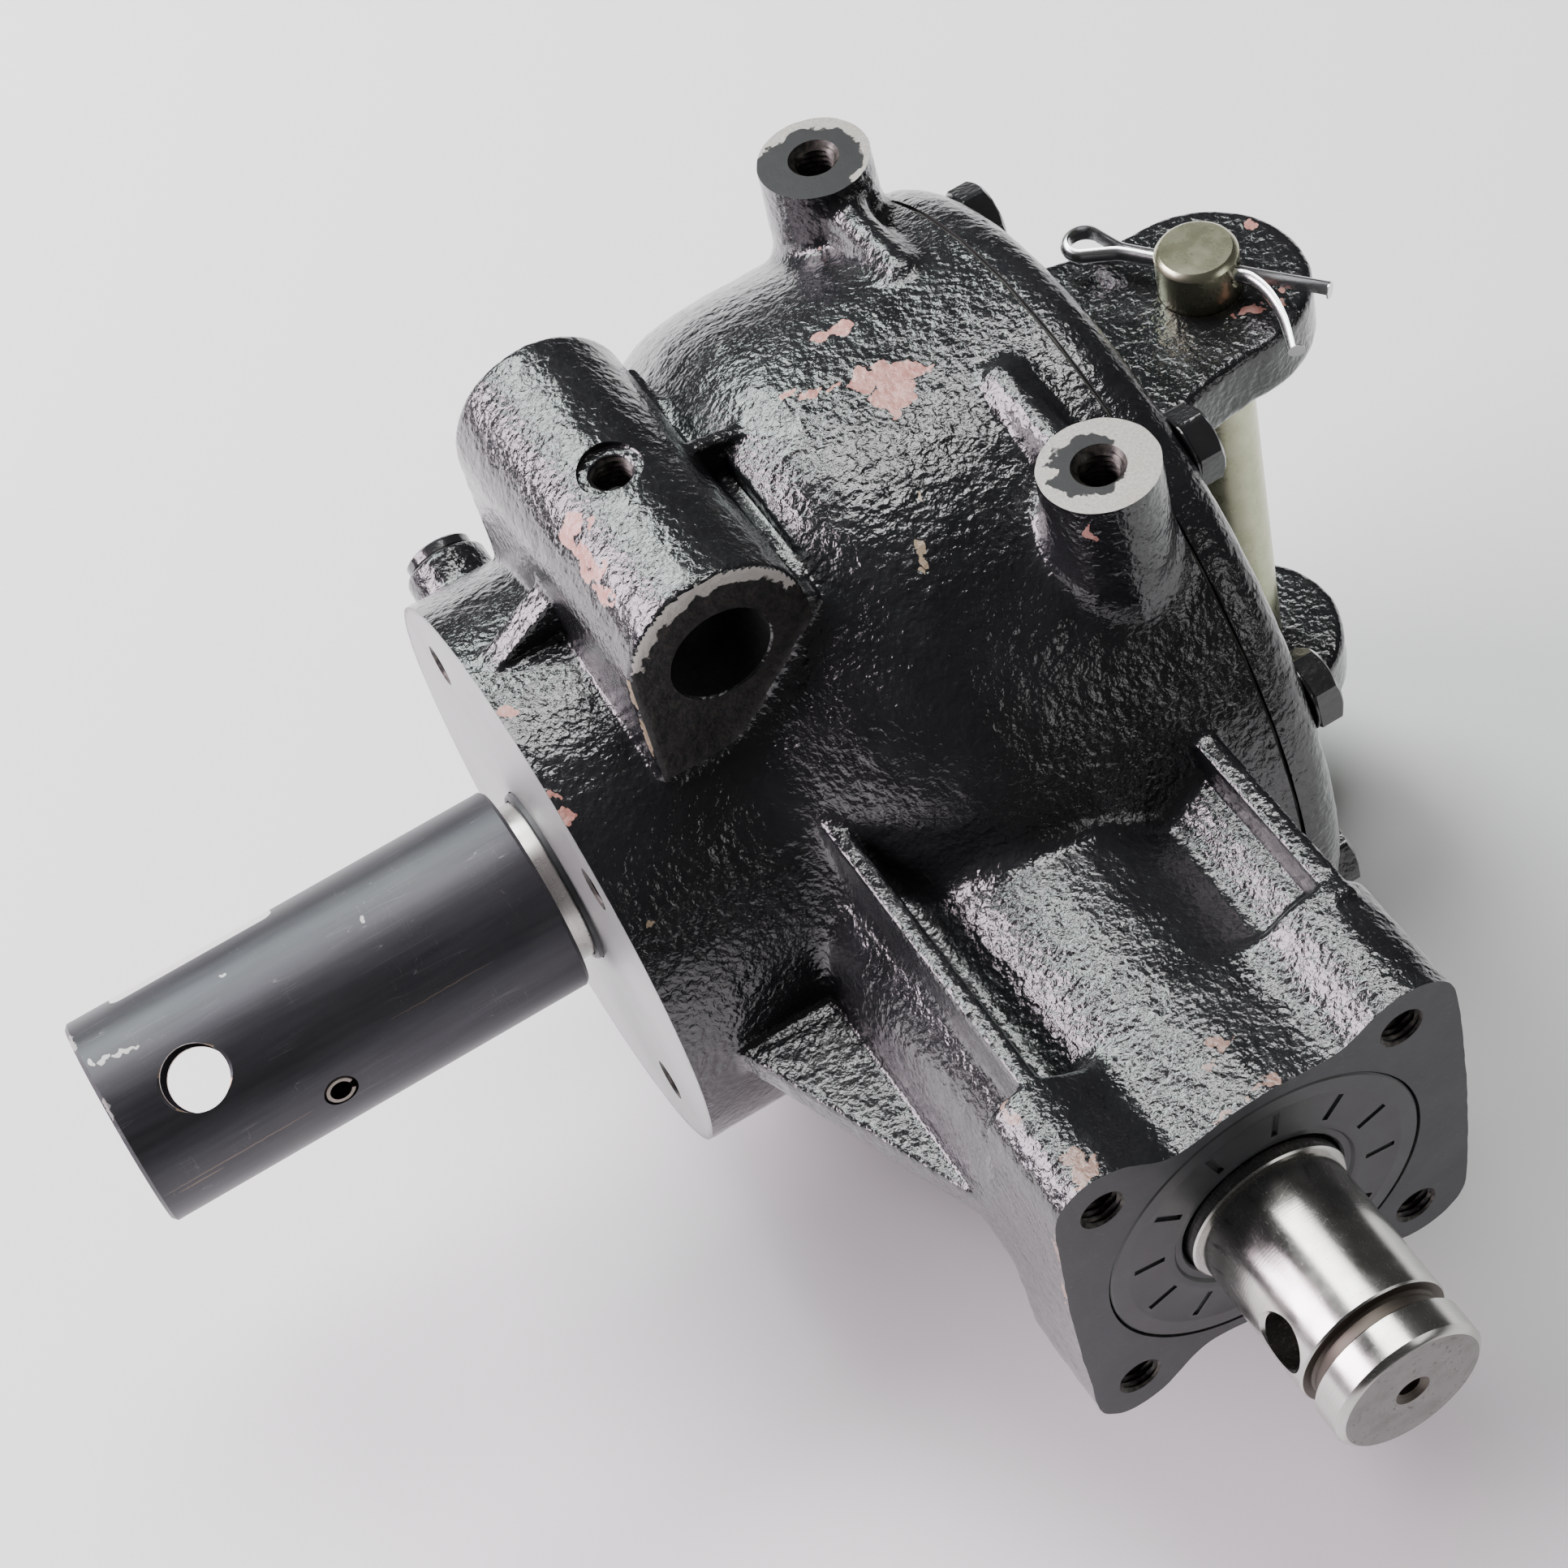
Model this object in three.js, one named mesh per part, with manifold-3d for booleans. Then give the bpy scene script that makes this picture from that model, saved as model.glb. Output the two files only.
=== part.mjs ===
// Right-angle bevel gearbox of the post-hole-digger kind.
// Output axis along X (sleeve towards -X), input axis along Y (shaft towards -Y), lifting clevis on the +X cover.
// Modelled about the crossing of the two shaft axes, then shifted so the origin is the bottom centre of the box.
import * as THREE from 'three';
import { mergeVertices } from 'three/addons/utils/BufferGeometryUtils.js';
import Module from 'manifold-3d';

const wasm = await Module();
wasm.setup();

// ---------------------------------------------------------------- driving dimensions (mm)
const D = {
  // housing, revolved about X
  ringFaceX: -82.7, ringR: 70.3, partingX: 55.5, partingR: 101.5, domeR: 100,
  outputHoleR: 22, sealPocketR: 31, hubSeatR: 40.2,
  ringTapR: 4.25, ringPcdR: 55,
  // input neck and flange
  flangeY: -167, neckHalfW: 47.5, neckHalfH: 42, flangeTap: 35.4, tapR: 4.25,
  inSealR: 38.2, inSeatR: 36.4,
  // handle socket
  sockX: -39.5, sockZ: 88.5, sockR: 21, sockY0: -39, sockY1: 45, sockBoreR: 11.6, sockBoreZ: 86.5,
  // tapped side bosses
  bossX: 42.3, bossY: 59, bossZ: 104, bossR: 13.1,
  // rear cover
  coverX0: 56.5, coverX1: 68, coverR: 97, padX: 72, boltR: 88.5,
  boltAngles: [30, 69, 110, 150, -150, -110, -69, -30],
  // clevis
  pinX: 102.7, pinR: 9.5, earR: 25, earZ0: 54, earZ1: 70, earBase: 33, pinTop: 81.7,
  // input shaft
  inR: 17.4, inSeat: 17.5, inEndY: -217.4, grooveY0: -204.4, grooveY1: -208.6, grooveR: 14.8, crossY: -196.2, crossR: 6,
  // output shaft and sleeve
  outR: 20, sleeveR: 25.4, sleeveIn: 20.25, sleeveX0: -196.1, sleeveX1: -88.3,
  sleeveHoleX: -176, sleeveHoleR: 7.7, sleeveHoleA: 36.7, rollX: -149.8, rollR: 4, rollA: 83.4,
  // bevel pair, common apex at the crossing of the axes
  zCrown: 39, zPinion: 13, crownR: 75, pinionR: 25, faceRatio: 0.7, backlash: 0.14,
};
const R = Math.PI / 180;
const SIN = 24, SOUT = 32;

// ---------------------------------------------------------------- helpers
const signedVolume = (p, t) => {
  let v = 0;
  for (let i = 0; i < t.length; i += 3) {
    const a = 3 * t[i], b = 3 * t[i + 1], c = 3 * t[i + 2];
    v += p[a] * (p[b + 1] * p[c + 2] - p[b + 2] * p[c + 1])
       + p[a + 1] * (p[b + 2] * p[c] - p[b] * p[c + 2])
       + p[a + 2] * (p[b] * p[c + 1] - p[b + 1] * p[c]);
  }
  return v / 6;
};
const solid = (geometry, matrix) => {
  let g = geometry.clone();
  if (matrix) g.applyMatrix4(matrix);
  for (const k of Object.keys(g.attributes)) if (k !== 'position') g.deleteAttribute(k);
  g = mergeVertices(g, 1e-4);
  const p = new Float32Array(g.attributes.position.array);
  const src = g.index.array, t = [];
  for (let i = 0; i < src.length; i += 3) {
    if (src[i] !== src[i + 1] && src[i + 1] !== src[i + 2] && src[i] !== src[i + 2]) t.push(src[i], src[i + 1], src[i + 2]);
  }
  if (signedVolume(p, t) < 0) for (let i = 0; i < t.length; i += 3) [t[i + 1], t[i + 2]] = [t[i + 2], t[i + 1]];
  return new wasm.Manifold(new wasm.Mesh({ numProp: 3, vertProperties: p, triVerts: new Uint32Array(t) }));
};
const axisMatrix = { x: new THREE.Matrix4().makeRotationZ(-Math.PI / 2), y: new THREE.Matrix4(), z: new THREE.Matrix4().makeRotationX(Math.PI / 2) };
// solid of revolution about a model axis from [axial, radius] pairs
const revolve = (profile, axis, seg = 64, closed = false) => {
  const pts = profile.map(([a, r]) => new THREE.Vector2(r, a));
  if (closed) pts.push(pts[0].clone());
  return solid(new THREE.LatheGeometry(pts, seg), axisMatrix[axis]);
};
const tube = (a0, a1, r0, r1, axis, seg) => revolve([[a0, r0], [a1, r0], [a1, r1], [a0, r1]], axis, seg, true);
const rod = (a0, a1, r, axis, seg = 24) => revolve([[a0, 0], [a0, r], [a1, r], [a1, 0]], axis, seg);
const move = (x, y, z) => new THREE.Matrix4().makeTranslation(x, y, z);
const at = (m, x, y, z) => m.translate([x, y, z]);
// straight prism from a 2D outline; plane 'xz' runs along Y, 'yz' along X, 'xy' along Z
const prism = (outline, plane, from, to) => {
  const s = new THREE.Shape(outline.map(([u, v]) => new THREE.Vector2(u, v)));
  const g = new THREE.ExtrudeGeometry(s, { depth: to - from, bevelEnabled: false, curveSegments: 1 });
  g.translate(0, 0, from);
  const m = new THREE.Matrix4();
  if (plane === 'xz') m.set(1, 0, 0, 0, 0, 0, 1, 0, 0, 1, 0, 0, 0, 0, 0, 1);
  if (plane === 'yz') m.set(0, 0, 1, 0, 1, 0, 0, 0, 0, 1, 0, 0, 0, 0, 0, 1);
  return solid(g, m);
};
const box = (x0, x1, y0, y1, z0, z1) => solid(new THREE.BoxGeometry(x1 - x0, y1 - y0, z1 - z0), move((x0 + x1) / 2, (y0 + y1) / 2, (z0 + z1) / 2));
// rod from point a to point b
const bar = (a, b, r, seg = 20, r2 = r) => {
  const va = new THREE.Vector3(...a), vb = new THREE.Vector3(...b), d = vb.clone().sub(va), L = d.length();
  const g = new THREE.CylinderGeometry(r2, r, L, seg);
  const q = new THREE.Quaternion().setFromUnitVectors(new THREE.Vector3(0, 1, 0), d.normalize());
  return solid(g, new THREE.Matrix4().compose(va.clone().add(vb).multiplyScalar(0.5), q, new THREE.Vector3(1, 1, 1)));
};
const arc = (cx, cy, r, a0, a1, n) => Array.from({ length: n + 1 }, (_, i) => {
  const a = (a0 + (a1 - a0) * i / n) * R;
  return [cx + r * Math.cos(a), cy + r * Math.sin(a)];
});
const join = (...m) => m.reduce((a, b) => a.add(b));
const cut = (m, ...c) => c.reduce((a, b) => a.subtract(b), m);
// body lofted along Y between equal-count outlines in XZ
const loftY = (sections) => {
  const n = sections[0].pts.length, pos = [], idx = [];
  for (const s of sections) for (const [x, z] of s.pts) pos.push(x, s.y, z);
  for (let k = 0; k + 1 < sections.length; k++) for (let i = 0; i < n; i++) {
    const j = (i + 1) % n, a = k * n + i, b = k * n + j, c = a + n, d = b + n;
    idx.push(a, b, d, a, d, c);
  }
  const last = (sections.length - 1) * n;
  const capTris = THREE.ShapeUtils.triangulateShape(sections[0].pts.map(([u, v]) => new THREE.Vector2(u, v)), []);
  const capTris2 = THREE.ShapeUtils.triangulateShape(sections[sections.length - 1].pts.map(([u, v]) => new THREE.Vector2(u, v)), []);
  for (const [a, b, c] of capTris) idx.push(a, c, b);
  for (const [a, b, c] of capTris2) idx.push(last + a, last + b, last + c);
  const g = new THREE.BufferGeometry();
  g.setAttribute('position', new THREE.Float32BufferAttribute(pos, 3));
  g.setIndex(idx);
  return solid(g);
};
// straight bevel toothed ring: flanks converge on the apex, body from hub cone angle to the tooth outline
const bevelTeeth = ({ teeth, pitchDeg, pitchR, add, ded, hubDeg, axis, u, v, phase }) => {
  const dp = pitchDeg * R, A0 = pitchR / Math.sin(dp), rv = pitchR / Math.cos(dp), rb = rv * Math.cos(20 * R);
  const inv = (a) => Math.tan(a) - a;
  const half = (rho) => {
    const al = rho > rb ? Math.acos(rb / rho) : 0;
    return (Math.PI / (2 * teeth / Math.cos(dp)) + inv(20 * R) - inv(al)) / Math.cos(dp) - D.backlash / pitchR;
  };
  const rhos = [rv - ded, rv - ded * 0.1, rv + add], per = 2 * rhos.length;
  const outline = [], centres = [];
  for (let k = 0; k < teeth; k++) {
    const c = (k + phase) * 2 * Math.PI / teeth;
    centres.push(c);
    for (const rho of rhos) outline.push([c - half(rho), dp + (rho - rv) / A0]);
    for (const rho of [...rhos].reverse()) outline.push([c + half(rho), dp + (rho - rv) / A0]);
  }
  const P = (A, dl, ph) => {
    const s = A * Math.sin(dl), w = A * Math.cos(dl);
    return [0, 1, 2].map((i) => w * axis[i] + s * (Math.cos(ph) * u[i] + Math.sin(ph) * v[i]));
  };
  // two spherical ends, each a fan from one hub vertex per tooth, joined by the flank strip and a hub strip
  const n = outline.length, pos = [], idx = [];
  for (const A of [A0 * D.faceRatio, A0]) for (const [ph, dl] of outline) pos.push(...P(A, dl, ph));
  for (const A of [A0 * D.faceRatio, A0]) for (const c of centres) pos.push(...P(A, hubDeg * R, c));
  const H0 = 2 * n, H1 = 2 * n + teeth;
  for (let i = 0; i < n; i++) { const j = (i + 1) % n; idx.push(i, j, n + j, i, n + j, n + i); }
  for (let k = 0; k < teeth; k++) {
    const k2 = (k + 1) % teeth;
    for (let q = 0; q + 1 < per; q++) {
      const i = k * per + q;
      idx.push(i + 1, i, H0 + k, n + i, n + i + 1, H1 + k);
    }
    const e = k * per + per - 1, f = k2 * per;
    idx.push(f, e, H0 + k, f, H0 + k, H0 + k2, n + e, n + f, H1 + k, H1 + k, n + f, H1 + k2);
    idx.push(H0 + k, H1 + k, H1 + k2, H0 + k, H1 + k2, H0 + k2);
  }
  const g = new THREE.BufferGeometry();
  g.setAttribute('position', new THREE.Float32BufferAttribute(pos, 3));
  g.setIndex(idx);
  return solid(g);
};

const gearbox = new THREE.Group();
const put = (name, m, color, roughness, metalness) => {
  const mesh = m.getMesh(), g = new THREE.BufferGeometry();
  g.setAttribute('position', new THREE.BufferAttribute(new Float32Array(mesh.vertProperties), 3));
  g.setIndex(new THREE.BufferAttribute(new Uint32Array(mesh.triVerts), 1));
  g.computeVertexNormals();
  const o = new THREE.Mesh(g, new THREE.MeshStandardMaterial({ color, roughness, metalness }));
  o.name = name;
  gearbox.add(o);
};
const PAINT = [0x1b1d1e, 0.28, 0.1], STEEL = [0xb9b7b0, 0.3, 0.9], BLACKOX = [0x3a3a3c, 0.35, 0.8];
const ZINC = [0xc9c8a8, 0.3, 0.9], BRIGHT = [0xd2d2d2, 0.25, 0.9], RUBBER = [0x2a2b2b, 0.6, 0], BEARING = [0x9fa3a6, 0.2, 0.95];
const polar = (r, deg) => [r * Math.sin(deg * R), r * Math.cos(deg * R)]; // angle from +Z towards +Y

// ---------------------------------------------------------------- gear housing
{
  const shell = revolve([[-82.7, 0], [-82.7, 69.3], [-81.7, D.ringR], [-46, D.ringR], [-38, 73.5], [-27, 84.5],
    [-14, 95.3], [0, 99.7], [D.partingX, D.partingR], [D.partingX, 0]], 'x', 48);
  // input neck: squarish tube whose four corner lobes swell into the mounting flange
  const quarter = [[50, 5], [49, 32], [48, 40], [45, 44.5], [40, 47.3], [34, 47], [27, 43.8], [4, 40.5]];
  const quarterL = [[-7, 38], [-16, 38.4], [-23, 41.5], [-30, 46.5], [-38, 47], [-43, 44.5], [-46, 39], [-47, 12]];
  const top = [...quarter, ...quarterL];
  const flange = [...top, ...[...top].reverse().map(([x, z]) => [x, -z])];
  const neckPt = ([x, z]) => {
    const a = Math.atan2(z / D.neckHalfH, x / D.neckHalfW), c = Math.cos(a), s = Math.sin(a), e = 2 / 2.6;
    return [D.neckHalfW * Math.sign(c) * Math.abs(c) ** e, D.neckHalfH * Math.sign(s) * Math.abs(s) ** e];
  };
  const neckSec = flange.map(neckPt), mid = flange.map(([x, z], i) => [(x + neckSec[i][0]) / 2, (z + neckSec[i][1]) / 2]);
  const neck = loftY([{ y: -58, pts: neckSec }, { y: -118, pts: neckSec }, { y: -130, pts: mid }, { y: -139, pts: flange }, { y: D.flangeY, pts: flange }]);
  const ribA = box(-36, -28, -137, -50, -46, 46);
  const ribB = prism([[44, -60], [50.5, -60], [43.5, -136], [37, -136]], 'xy', -46, 46);
  const gusset = prism([[-76, -62], [-40, -62], [-40, -134.5], [-47.5, -134.5]], 'xy', -4, 4);
  // handle socket on its pedestal
  const sockOutline = [[-60.5, 50], [-16, 50], [-16, 88], [-18.5, 88.5], ...arc(D.sockX, D.sockZ, D.sockR, 3, 180, 12), [-60.5, 86]];
  const socket = prism(sockOutline, 'xz', D.sockY0, D.sockY1);
  const fin = prism([[-60, 60], [-60, 82.2], [-78.6, 69.8], [-78.6, 60]], 'xz', 1, 8.6);
  const skirt = prism([[-24, 86], [-24, 99.6], [-21, 99.2], [-8, 96.6], [-4, 86]], 'xz', 3, 6.4);
  // tapped side bosses and the ribs that tie them to the dome
  const bosses = [];
  for (const sz of [1, -1]) for (const sy of [1, -1]) {
    bosses.push(at(rod(Math.min(60 * sz, D.bossZ * sz), Math.max(60 * sz, D.bossZ * sz), D.bossR, 'z', 16), D.bossX, sy * D.bossY, 0));
  }
  const tie = prism([[-59, 60], [-59, 97], [-47, 97.5], [-30, 98], [-16, 99], [16, 99], [30, 98], [47, 97.5], [59, 97], [59, 60]], 'yz', 38, 46);
  const tieLow = prism([[-59, -60], [59, -60], [59, -97], [47, -97.5], [30, -98], [16, -99], [-16, -99], [-30, -98], [-47, -97.5], [-59, -97]], 'yz', 38, 46);
  // oil plug bosses on the ring
  const fillBoss = bar([-67, 50 * Math.cos(22 * R), 50 * Math.sin(22 * R)], [-67, 80.5 * Math.cos(22 * R), 80.5 * Math.sin(22 * R)], 10.5, 12);
  const drainBoss = bar([-67, 0, -55], [-67, 0, -78], 10.5, 12);
  let h = join(shell, neck, ribA, ribB, gusset, socket, fin, skirt, ...bosses, tie, tieLow, fillBoss, drainBoss);
  // inside: seal pocket, hub-side bearing seat, gear cavity
  const cavity = revolve([[-84, 0], [-84, D.outputHoleR], [-76, D.outputHoleR], [-76, D.sealPocketR], [-66.5, D.sealPocketR], [-66.5, D.hubSeatR],
    [-46, D.hubSeatR], [-46, 52], [-28, 64], [-8, 82], [2, 86], [57, 86], [57, 0]], 'x', 32);
  const inputBore = revolve([[-168, 0], [-168, D.inSealR], [-157, D.inSealR], [-157, D.inSeatR], [-60, D.inSeatR], [-60, 0]], 'y', 32);
  h = cut(h, cavity, inputBore);
  const lugs = D.boltAngles.map((a) => { const [y, z] = polar(D.boltR, a); return at(rod(30, D.partingX, 9, 'x', 8), 0, y, z); });
  h = join(h, ...lugs);
  const cuts = [];
  for (const a of D.boltAngles) { const [y, z] = polar(D.boltR, a); cuts.push(at(rod(34, 57, 5.4, 'x', 8), 0, y, z)); }
  for (const a of [45, 135, 225, 315]) { const [y, z] = polar(D.ringPcdR, a); cuts.push(at(rod(-84, -60, D.ringTapR, 'x', 10), 0, y, z)); }
  for (const sx of [1, -1]) for (const sz of [1, -1]) cuts.push(at(rod(-168, -142, D.tapR, 'y', 10), sx * D.flangeTap, 0, sz * D.flangeTap));
  const bore = at(rod(D.sockY0 - 2, D.sockY1 + 2, D.sockBoreR, 'y', 24), D.sockX, 0, D.sockBoreZ);
  const setScrew = at(revolve([[90, 0], [90, D.tapR], [105.6, D.tapR], [109.6, 7.2], [112, 7.2], [112, 0]], 'z', 12), D.sockX, 1, 0);
  cuts.push(bore, setScrew);
  for (const sz of [1, -1]) for (const sy of [1, -1]) {
    const pr = [[78, 0], [78, D.tapR], [102.2, D.tapR], [104, 6], [106, 6], [106, 0]].map(([a, r]) => [a * sz, r]);
    cuts.push(at(revolve(pr, 'z', 10), D.bossX, sy * D.bossY, 0));
  }
  cuts.push(bar([-67, 30 * Math.cos(22 * R), 30 * Math.sin(22 * R)], [-67, 82 * Math.cos(22 * R), 82 * Math.sin(22 * R)], 6.3, 12));
  cuts.push(bar([-67, 0, -34], [-67, 0, -80], 6.3, 12));
  h = cut(h, ...cuts);
  put('gear_housing', h, ...PAINT);
}

// ---------------------------------------------------------------- rear cover with clevis ears
{
  const disc = revolve([[D.coverX0, 0], [D.coverX0, D.partingR], [60.5, 101.2], [66, 98.6], [D.coverX1, D.coverR - 1], [D.coverX1, 50], [D.padX, 45], [D.padX, 0]], 'x', 48);
  const seat = rod(46, 58, 44, 'x', 24);
  const ear = (z0, z1) => prism([[62, -36], [70, -35.5], [76, D.earBase * -0.9], [95, -26.5], ...arc(D.pinX, 0, D.earR, -100, 100, 12), [95, 26.5], [76, D.earBase * 0.9], [70, 35.5], [62, 36]], 'xy', z0, z1);
  let c = join(disc, seat, ear(D.earZ0, D.earZ1), ear(-D.earZ1, -D.earZ0));
  const cuts = [tube(45, 61.2, 0.001, D.inSeatR, 'x', SOUT)];
  cuts[0] = rod(45, 61.2, D.inSeatR, 'x', SOUT);
  cuts.push(at(rod(-80, 80, 9.68, 'z', 32), D.pinX, 0, 0));
  for (const a of D.boltAngles) { const [y, z] = polar(D.boltR, a); cuts.push(at(rod(50, 69, 5.7, 'x', 8), 0, y, z)); }
  c = cut(c, ...cuts);
  put('rear_cover', c, ...PAINT);
  let g = tube(55.75, 56.25, 86.6, 101, 'x', 32);
  for (const a of D.boltAngles) { const [y, z] = polar(D.boltR, a); g = g.subtract(at(rod(54, 58, 6, 'x', 6), 0, y, z)); }
  put('cover_gasket', g, 0x30302c, 0.8, 0);
  D.boltAngles.forEach((a, i) => {
    const [y, z] = polar(D.boltR, a);
    const hex = prism(Array.from({ length: 6 }, (_, k) => [9.2 * Math.cos((k * 60 + 17 * i) * R), 9.2 * Math.sin((k * 60 + 17 * i) * R)]), 'yz', 69.2, 75.2);
    const crown = revolve([[69, 0], [69, 12], [74.2, 9.4], [75.4, 7.6], [75.4, 0]], 'x', 12);
    const washer = rod(68.15, 69.4, 9, 'x', 12), shank = rod(36, 69.4, 4.95, 'x', 8);
    put(`cover_bolt_${i + 1}`, at(join(hex.intersect(crown), washer, shank), 0, y, z), 0x232425, 0.35, 0.5);
  });
}

// ---------------------------------------------------------------- bevel pair
const gearDims = { addP: 4.6, addC: 2.2, clear: 0.9 };
const crownTeeth = bevelTeeth({ teeth: D.zCrown, pitchDeg: Math.atan(3) / R, pitchR: D.crownR, add: gearDims.addC, ded: gearDims.addP + gearDims.clear, hubDeg: 60,
  axis: [1, 0, 0], u: [0, -1, 0], v: [0, 0, -1], phase: 0 });
const pinionTeeth = bevelTeeth({ teeth: D.zPinion, pitchDeg: Math.atan(1 / 3) / R, pitchR: D.pinionR, add: gearDims.addP, ded: gearDims.addC + gearDims.clear, hubDeg: 8,
  axis: [0, -1, 0], u: [1, 0, 0], v: [0, 0, 1], phase: 0.5 });
{
  const blank = revolve([[20, 21.4], [20, 32], [26, 56], [36, 65.5], [40, 62], [40, 34], [44, 34], [44, 21.4]], 'x', 24, true);
  let c = join(crownTeeth, blank).subtract(box(12, 50, -4.2, 4.2, 15, 25.2));
  put('crown_gear', c, ...BEARING);
  put('crown_gear_key', box(21, 43.5, -4, 4, 17.4, 24.8), ...STEEL);
}

// ---------------------------------------------------------------- input pinion shaft
{
  const back = [[-50, 0], [-50, 10], [-53, 15.6], [-72, 20.4], [-78, 21.8], [-81, 21.8], [-85.4, 21], [-85.4, D.inSeat], [-156.6, D.inSeat], [-157.2, D.inR],
    [D.grooveY0, D.inR], [D.grooveY0, D.grooveR], [D.grooveY1, D.grooveR], [D.grooveY1, 16.9], [-209.2, D.inR], [-216.2, D.inR], [D.inEndY, 16.2], [D.inEndY, 0]];
  let s = join(pinionTeeth, revolve(back, 'y', SIN));
  const t = 17 * R, hx = -Math.cos(t), hz = Math.sin(t);
  s = cut(s, bar([30 * hx, D.crossY, 30 * hz], [-30 * hx, D.crossY, -30 * hz], D.crossR, 20),
    bar([0, D.inEndY - 1, 0], [0, D.inEndY + 6, 0], 2.6, 16), bar([0, D.inEndY - 0.5, 0], [0, D.inEndY + 2, 0], 4.4, 16, 1.4));
  put('input_pinion_shaft', s, ...STEEL);
}

// ---------------------------------------------------------------- bearings
const bearing = (name, axis, a0, a1, bore, coneR, cupIn, cupOut, rollR, count, seg) => {
  const w = Math.abs(a1 - a0), lo = Math.min(a0, a1), hi = Math.max(a0, a1), rc = (coneR + cupIn) / 2;
  put(`${name}_cup`, tube(lo, hi, cupIn, cupOut, axis, 20), ...BEARING);
  put(`${name}_cone`, tube(lo, hi, bore + 0.35, coneR, axis, 20), ...BEARING);
  // rollers fused to their cage: a scalloped ring
  const outer = [], inner = [], step = 360 / count;
  for (let i = 0; i < count; i++) {
    const web = Math.asin(rollR / rc) / R;
    for (const [da, k] of [[-web, 0.28], [-web * 0.4, 0.94], [web * 0.4, 0.94], [web, 0.28]]) {
      const t = (i * step + da) * R;
      outer.push([(rc + rollR * k) * Math.cos(t), (rc + rollR * k) * Math.sin(t)]);
      inner.push([(rc - rollR * k) * Math.cos(t), (rc - rollR * k) * Math.sin(t)]);
    }
  }
  const s = new THREE.Shape(outer.map(([u, v]) => new THREE.Vector2(u, v)));
  s.holes.push(new THREE.Path(inner.map(([u, v]) => new THREE.Vector2(u, v))));
  const g = new THREE.ExtrudeGeometry(s, { depth: w - 1.6, bevelEnabled: false });
  g.translate(0, 0, lo + 0.8);
  const m = new THREE.Matrix4();
  if (axis === 'x') m.set(0, 0, 1, 0, 1, 0, 0, 0, 0, 1, 0, 0, 0, 0, 0, 1);
  else m.set(1, 0, 0, 0, 0, 0, 1, 0, 0, 1, 0, 0, 0, 0, 0, 1);
  const set = solid(g, m);
  put(`${name}_rollers`, set, ...BEARING);
  return w;
};
bearing('output_bearing_hub', 'x', -66, -48.5, 20.08, 25, 35, 39.8, 4.4, 12, SOUT);
bearing('output_bearing_cover', 'x', 46.2, 60.8, 17.58, 22.4, 31.2, 35.8, 4.0, 12, SOUT);
bearing('input_bearing_inner', 'y', -86, -102, 17.58, 22.4, 31.2, 35.8, 4.0, 12, SIN);
bearing('input_bearing_outer', 'y', -137, -153, 17.58, 22.4, 31.2, 35.8, 4.0, 12, SIN);
put('input_bearing_spacer', tube(-136.7, -102.3, 17.9, 21.5, 'y', 16), ...STEEL);
put('input_cup_spacer', tube(-136.7, -102.3, 33, 35.4, 'y', 20), ...STEEL);
put('input_retaining_nut', prism(Array.from({ length: 32 }, (_, i) => { const r = i % 8 === 0 ? 20.4 : 23.4, a = i * 11.25 * R; return [r * Math.cos(a), r * Math.sin(a)]; }), 'xz', -156.2, -153.3).subtract(rod(-160, -150, 17.8, 'y', SIN)), ...STEEL);

// ---------------------------------------------------------------- shaft seals
{
  let s = revolve([[-165.4, 18.7], [-165.4, 22.6], [-167, 23], [-167, 37.9], [-157.6, 37.9], [-157.6, 30], [-164, 30], [-164, 22], [-159, 20.5], [-159, 17.75], [-161, 17.65], [-163, 18.7]], 'y', 32, true);
  const slots = [];
  for (let i = 0; i < 12; i++) {
    const b = box(24.6, 32, -168, -166.2, -0.55, 0.55);
    slots.push(b.rotate([0, i * 30 + 9.4, 0]));
  }
  s = cut(s, ...slots);
  put('input_oil_seal', s, ...RUBBER);
  put('output_oil_seal', revolve([[-84.2, 20.3], [-84.2, 21.3], [-83.8, 21.7], [-75.6, 21.7], [-75.6, 30.7], [-67.2, 30.7], [-67.2, 27.5], [-73.6, 27.5], [-73.6, 22.6], [-69.5, 21.6], [-69.5, 20.35]], 'x', 24, true), ...RUBBER);
}

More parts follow.
